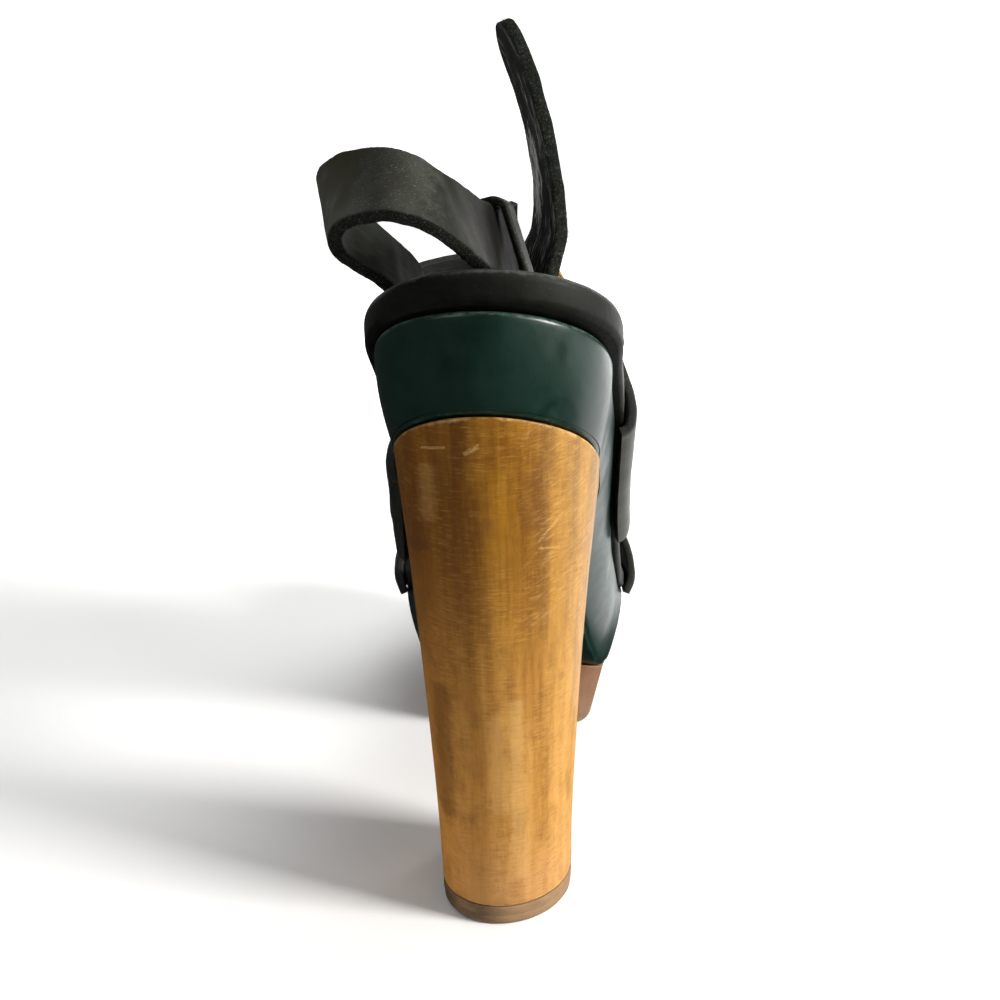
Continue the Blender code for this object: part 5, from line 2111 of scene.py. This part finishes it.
class NodeShop:
    """Geometry node trees for what repeats along a path or over a surface."""

    def __init__(self) -> None:
        """Build each tree once."""
        self.stitches = self.build_stitches()
        self.fibres = self.build_fibres()

    @staticmethod
    def start(name: str, numbers: Sequence[str], whole: Sequence[str] = ()) -> tuple[Tree, Outputs]:
        """Empty geometry tree for a mesh and a finish.

        Args:
            name: Name of the tree.
            numbers: Names of its number inputs.
            whole: Names of its whole number inputs.

        Returns:
            The tree and the sockets of its inputs.
        """
        group = bpy.data.node_groups.new(name, "GeometryNodeTree")
        sockets = [("Geometry", "NodeSocketGeometry")]
        sockets += [(label, "NodeSocketFloat") for label in numbers]
        sockets += [(label, "NodeSocketInt") for label in whole]
        sockets += [("Finish", "NodeSocketMaterial")]
        for label, kind in sockets:
            group.interface.new_socket(label, in_out="INPUT", socket_type=kind)
        group.interface.new_socket("Geometry", in_out="OUTPUT", socket_type="NodeSocketGeometry")
        tree = Tree(group)
        return tree, tree.add("NodeGroupInput").outputs

    @staticmethod
    def copies(tree: Tree, source: Outputs, inputs: dict) -> NodeTree:
        """End a tree with copies of a shape on points, made real and with the tree's finish.

        Args:
            tree: The tree to end.
            source: The sockets of its inputs.
            inputs: Where the copies stand, what is copied, and how each is turned and sized.

        Returns:
            The finished tree.
        """
        placed = tree.add("GeometryNodeInstanceOnPoints", inputs)
        real = tree.add("GeometryNodeRealizeInstances", {0: placed.outputs[0]})
        dressed = tree.add("GeometryNodeSetMaterial", {0: real.outputs[0], "Material": source["Finish"]})
        tree.add("NodeGroupOutput", {0: dressed.outputs[0]})
        return tree.tree

    @classmethod
    def build_stitches(cls) -> NodeTree:
        """Rounded stitches set along a path and turned to the leather under them.

        Returns:
            The node tree.
        """
        tree, source = cls.start("stitch_row", ("Pitch", "Stitch Length", "Thread Radius"))
        curve = tree.add("GeometryNodeMeshToCurve", {"Mesh": source["Geometry"]})
        even = tree.add("GeometryNodeResampleCurve", {"Curve": curve.outputs[0], "Length": source["Pitch"]},
                        mode="LENGTH")
        out = tree.add("GeometryNodeInputNamedAttribute", {"Name": "out"}, data_type="FLOAT_VECTOR")
        level = tree.add("FunctionNodeAlignRotationToVector", {"Vector": out.outputs[0]}, axis="Z")
        tangent = tree.add("GeometryNodeInputTangent")
        turn = {"Rotation": level.outputs[0], "Vector": tangent.outputs[0]}
        turned = tree.add("FunctionNodeAlignRotationToVector", turn, axis="X", pivot_axis="Z")
        ball = tree.add("GeometryNodeMeshUVSphere", {"Segments": 8, "Rings": 6, "Radius": 1.0})
        radius = source["Thread Radius"]
        size = tree.joined(tree.times(source["Stitch Length"], 0.5), radius, radius)
        return cls.copies(tree, source, {"Points": even.outputs[0], "Instance": ball.outputs[0],
                                         "Rotation": turned.outputs[0], "Scale": size})

    @classmethod
    def build_fibres(cls) -> NodeTree:
        """Short loose fibres on the raw cut edges of a piece of leather.

        Returns:
            The node tree.
        """
        tree, source = cls.start("cut_edge_fibres", ("Density", "Fibre Length", "Fibre Radius"), ("Seed",))
        seed = source["Seed"]
        cut = tree.add("GeometryNodeInputNamedAttribute", {"Name": "cut"}, data_type="FLOAT")
        points = tree.add("GeometryNodeDistributePointsOnFaces", {
            "Mesh": source["Geometry"], "Selection": tree.math("GREATER_THAN", cut.outputs[0], 0.6),
            "Density": source["Density"], "Seed": seed,
        })
        shape = {"Vertices": 4, "Side Segments": 2, "Radius Top": 0.15, "Radius Bottom": 1.0, "Depth": 1.0}
        fibre = tree.add("GeometryNodeMeshCone", shape, fill_type="NGON")
        limits = {0: (-1.15, -1.15, -3.1), 1: (1.15, 1.15, 3.1), "Seed": seed}
        lean = tree.add("FunctionNodeRandomValue", limits, data_type="FLOAT_VECTOR")
        tilt = tree.add("FunctionNodeEulerToRotation", {0: lean.outputs[0]})
        turn = {"Rotation": points.outputs["Rotation"], "Rotate By": tilt.outputs[0]}
        turned = tree.add("FunctionNodeRotateRotation", turn, rotation_space="LOCAL")
        draw = tree.add("FunctionNodeRandomValue", {2: 0.35, 3: 1.0, "Seed": seed}, data_type="FLOAT")
        radius = source["Fibre Radius"]
        size = tree.joined(radius, radius, tree.times(source["Fibre Length"], draw.outputs[1]))
        return cls.copies(tree, source, {"Points": points.outputs[0], "Instance": fibre.outputs[0],
                                         "Rotation": turned.outputs[0], "Scale": size})

    @staticmethod
    def run(name: str, mesh: bpy.types.Mesh, group: NodeTree, values: dict) -> Piece:
        """Plain mesh that a tree makes from a source mesh.

        Args:
            name: Name of the new piece.
            mesh: The source mesh.
            group: The geometry tree.
            values: Values of its named inputs.

        Returns:
            The linked object with its finished mesh.
        """
        holder = bpy.data.objects.new(name, mesh)
        bpy.context.scene.collection.objects.link(holder)
        modifier = holder.modifiers.new("make", "NODES")
        modifier.node_group = group
        for item in group.interface.items_tree:
            if item.in_out == "INPUT" and item.name in values:
                modifier[item.identifier] = values[item.name]
        graph = bpy.context.evaluated_depsgraph_get()
        result = bpy.data.meshes.new_from_object(holder.evaluated_get(graph))
        holder.modifiers.clear()
        holder.data = result
        result.name = name
        result.shade_smooth()
        return holder


@dataclass
class Sewing:
    """Stitch rows and loose fibres on the leather."""

    shop: NodeShop
    thread: Material
    fibre: Material
    pitch: float = 2.6
    stitch: float = 2.0
    radius: float = 0.32
    proud: float = 0.18
    side_steps: int = 14
    end_steps: int = 10

    def row(self, name: str, points: Array, out: Array) -> None:
        """One row of stitches.

        Args:
            name: Name of the row.
            points: Path that it follows.
            out: Direction out of the leather at each point.
        """
        mesh = bpy.data.meshes.new(name + "_path")
        edges = [(i, i + 1) for i in range(len(points) - 1)]
        mesh.from_pydata(((points + out * self.proud) * MM).tolist(), edges, [])
        layer = mesh.attributes.new("out", "FLOAT_VECTOR", "POINT")
        layer.data.foreach_set("vector", np.ascontiguousarray(out, dtype=np.float32).ravel())
        values = {"Pitch": self.pitch * MM, "Stitch Length": self.stitch * MM,
                  "Thread Radius": self.radius * MM, "Finish": self.thread}
        place_piece(self.shop.run(name, mesh, self.shop.stitches, values))

    def seat(self, name: str, band: Band, path: StrapPath, shares: tuple[float, float], reach: float) -> None:
        """Three-sided row of stitches that holds a strap's end to a band.

        Args:
            name: Name of the row.
            band: The band that carries the strap.
            path: The strap's path.
            shares: Where along the strap the row starts and turns.
            reach: Distance of the row's sides from the strap's middle.
        """
        last = len(path.middle) - 1
        stations = np.linspace(*shares, self.side_steps) * last
        corner = [(s, reach) for s in stations]
        corner += [(stations[-1], w) for w in np.linspace(reach, -reach, self.end_steps)[1:-1]]
        corner += [(s, -reach) for s in stations[::-1]]
        points, outs = [], []
        for station, wide in corner:
            index = int(round(station))
            point, out = band.nearest(path.middle[index] + path.across[index] * wide)
            points.append(point)
            outs.append(out)
        kernel = np.ones(3) / 3
        smooth = np.array(points)
        for k in range(3):
            smooth[1:-1, k] = np.convolve(smooth[:, k], kernel, "valid")
        self.row(name, smooth, np.array(outs))

    def fuzz(self, name: str, piece: Piece, density: float, size: tuple[float, float], seed: int) -> None:
        """Loose fibres on a piece's cut edges, of a length and a radius."""
        values = {"Density": density, "Fibre Length": size[0] * MM, "Fibre Radius": size[1] * MM,
                  "Seed": seed, "Finish": self.fibre}
        place_piece(self.shop.run(name, piece.data.copy(), self.shop.fibres, values))


@dataclass(frozen=True)
class SoftLight:
    """Soft rectangular light that faces a point, in metres and watts."""

    name: str
    place: Point
    aim: Point
    size: tuple[float, float]
    power: float
    colour: Colour = (1.0, 1.0, 1.0)

    def add(self) -> None:
        """Add the light to the scene."""
        data = bpy.data.lights.new(self.name, "AREA")
        data.shape = "RECTANGLE"
        data.size, data.size_y = self.size
        data.energy = self.power
        data.color = self.colour
        light = bpy.data.objects.new(self.name, data)
        light.visible_camera = False
        turn = (Vector(self.place) - Vector(self.aim)).to_track_quat("Z", "Y")
        light.matrix_world = Matrix.Translation(self.place) @ turn.to_matrix().to_4x4()
        bpy.context.scene.collection.objects.link(light)


LIGHTS = (
    SoftLight("key", (1.06, -0.26, 0.46), (0.0, 0.0, 0.08), (0.32, 0.46), 29.0, (1.0, 0.985, 0.96)),
    SoftLight("fill", (-0.60, -1.00, 0.75), (0.0, 0.0, 0.12), (0.60, 0.60), 3.5),
    SoftLight("side", (-0.75, 0.95, 0.55), (0.0, 0.05, 0.08), (0.70, 0.70), 4.0),
    SoftLight("card", (0.34, 0.85, 0.26), (0.0, 0.0, 0.10), (0.80, 0.60), 8.0),
    SoftLight("bounce", (0.50, 0.75, 0.01), (0.50, 0.75, 1.0), (0.90, 1.40), 6.5),
    SoftLight("top", (0.35, 0.25, 1.45), (0.0, 0.05, 0.0), (1.3, 1.0), 13.0),
)


@dataclass
class Studio:
    """Floor, lights and camera."""

    heel_back: Point = (0.0, -28.0, 0.0)
    yaw: float = 11.0
    roll: float = -1.51
    distance: float = 223.6
    height: float = 184.9
    side: float = 24.15
    sensor: float = 36.0
    lens: float = 41.0
    aim: Point = (0.5, 0.0, 104.0)
    paper_sides: int = 64
    world_strength: float = 0.025

    def add_camera(self) -> None:
        """Camera at the photograph's viewing angle, with the whole shoe in its frame."""
        yaw = math.radians(self.yaw)
        ahead = Vector((-math.sin(yaw), math.cos(yaw), 0.0))
        right = Vector((math.cos(yaw), math.sin(yaw), 0.0))
        place = Vector(self.heel_back) - ahead * self.distance - right * self.side
        place += Vector((0.0, 0.0, self.height))
        ahead = (Vector(self.aim) - place).normalized()
        right = ahead.cross(Vector((0.0, 0.0, 1.0))).normalized()
        up = right.cross(ahead)
        turn = Matrix.Rotation(math.radians(-self.roll), 3, ahead)
        right, up = turn @ right, turn @ up
        data = bpy.data.cameras.new("camera")
        data.sensor_width = self.sensor
        data.lens = self.lens
        data.clip_start = 0.01
        camera = bpy.data.objects.new("camera", data)
        facing = Matrix((right, up, -ahead)).transposed()
        camera.matrix_world = Matrix.Translation(place * MM) @ facing.to_4x4()
        bpy.context.scene.collection.objects.link(camera)
        bpy.context.scene.camera = camera

    def add_paper(self, name: str, rings: tuple, glow: tuple[float, float]) -> Piece:
        """Round sheet of pale paper that turns white far from the shoe.

        Args:
            name: Name of the sheet.
            rings: Distance from the middle and height of each ring, in metres.
            glow: Distances from the middle where the white starts and where it is full.

        Returns:
            The sheet.
        """
        count = self.paper_sides
        turns = np.linspace(0.0, 2.0 * math.pi, count, endpoint=False)
        points = [(far * math.cos(turn), far * math.sin(turn), height)
                  for far, height in rings for turn in turns]
        walls = [face[::-1] for face in ring_walls(count, len(rings))]
        mesh = bpy.data.meshes.new(name)
        mesh.from_pydata(points, [], [list(range(count)), *walls])
        mesh.materials.append(self.paper(name + "_paper", glow))
        sheet = bpy.data.objects.new(name, mesh)
        bpy.context.scene.collection.objects.link(sheet)
        sheet.visible_glossy = False
        return sheet

    @staticmethod
    def paper(name: str, glow: tuple[float, float]) -> Material:
        """Pale paper that turns white away from the middle.

        Args:
            name: Name of the finish.
            glow: Distances where the white starts and is full.

        Returns:
            The material.
        """
        material, tree, shader = new_material(name)
        place = tree.place()
        tone = tree.mix(tree.noise(place, 4.0, 2.0), (0.86, 0.86, 0.855), (0.90, 0.90, 0.895))
        white = tree.mix(tree.step(tree.length(place), *glow), (0.0, 0.0, 0.0), (0.97, 0.97, 0.97))
        tree.fill(shader, {"Base Color": tone, "Roughness": 0.9, "Specular IOR Level": 0.1,
                           "Emission Color": white, "Emission Strength": 1.0})
        return material

    def dress(self) -> None:
        """Set up the studio."""
        scene = bpy.context.scene
        scene.view_settings.view_transform = "Standard"
        scene.world = bpy.data.worlds.new("studio")
        scene.world.use_nodes = True
        sky = scene.world.node_tree.nodes["Background"]
        sky.inputs["Color"].default_value = (1.0, 1.0, 1.0, 1.0)
        sky.inputs["Strength"].default_value = self.world_strength
        self.add_paper("floor", FLOOR_RINGS, (0.45, 1.05))
        surround = self.add_paper("surround", SURROUND_RINGS, (0.0, 0.1))
        surround.visible_diffuse = False
        surround.visible_shadow = False
        for light in LIGHTS:
            light.add()
        self.add_camera()


def build_sandal() -> None:
    """Build and dress every piece in order."""
    effects = Effects()
    black, green = BLACK_LEATHER.material(effects), GREEN_LEATHER.material(effects)
    brass = BRASS.material(effects)
    line = SoleLine()
    Footbed(line).dress(FOOTBED_LEATHER.material(effects))
    Midsole(line).dress(green)
    Heel(line).dress(HEEL_WOOD.material(effects), TIP_RUBBER.material(effects))
    Forefoot(line).dress(BLOCK_WOOD.material(effects), TREAD_RUBBER.material(effects))
    vamp = Band("vamp_leather", "vamp_band", VAMP_ROWS, line, VAMP_CREASES, seed=50)
    vamp.dress(black)
    toe = Band("toe_leather", "toe_band", TOE_ROWS, line, TOE_CREASES, seed=60)
    toe.dress(black)
    sling_path = StrapPath(SLING_ROWS, 320, SLING_SOFTEN)
    sling_sheet = Leather(STRAP_THICK, rough=0.14, seed=80)
    sling = Strap("sling_leather", "sling_strap", sling_path, sling_sheet, creases=SLING_CREASES)
    sling_piece = sling.dress(SLING_LEATHER.material(effects))
    keeper_piece = Keeper(sling_path).dress(KEEPER_SHADED_LEATHER.material(effects))
    buckle = Buckle()
    buckle.dress(brass)
    tab_path = StrapPath(buckle.tab_rows(), 200)
    tab_sheet = Leather(buckle.tab_thick, rough=0.05, seed=90)
    tab = Strap("tab_leather", "buckle_tab", tab_path, tab_sheet, buckle.tab_width)
    cut_piece(tab.dress(black), buckle.slot_cutter())
    ankle_path = StrapPath(buckle.strap_rows(), 260)
    ankle_sheet = Leather(STRAP_THICK, rough=0.22, flesh=Face.UPPER, seed=100)
    ankle = Strap("ankle_leather", "ankle_strap", ankle_path, ankle_sheet, creases=ANKLE_CREASES,
                  round_start=STRAP_TIP_RADIUS, round_end=STRAP_TIP_RADIUS)
    ankle_piece = ankle.dress(ANKLE_LEATHER.material(effects))
    cut_piece(ankle_piece, buckle.hole_cutter())
    sewing = Sewing(NodeShop(), THREAD.material(effects), FIBRE.material(effects))
    sewing.seat("tab_stitches", vamp, tab_path, (0.76, 0.985), 5.6)
    sewing.seat("sling_stitches", vamp, sling_path, (0.082, 0.012), 6.0)
    sewing.fuzz("sling_fibres", sling_piece, 2.2e6, (0.60, 0.028), 5)
    sewing.fuzz("ankle_fibres", ankle_piece, 1.8e6, (1.20, 0.036), 6)
    sewing.fuzz("keeper_fibres", keeper_piece, 1.2e6, (0.45, 0.028), 7)


def main() -> None:
    """Load the solids, dress the shoe, set up the studio and log each piece's face count."""
    logging.basicConfig(level=logging.INFO, format="%(name)s: %(message)s")
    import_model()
    build_sandal()
    Studio().dress()


if __name__ == "__main__":
    main()
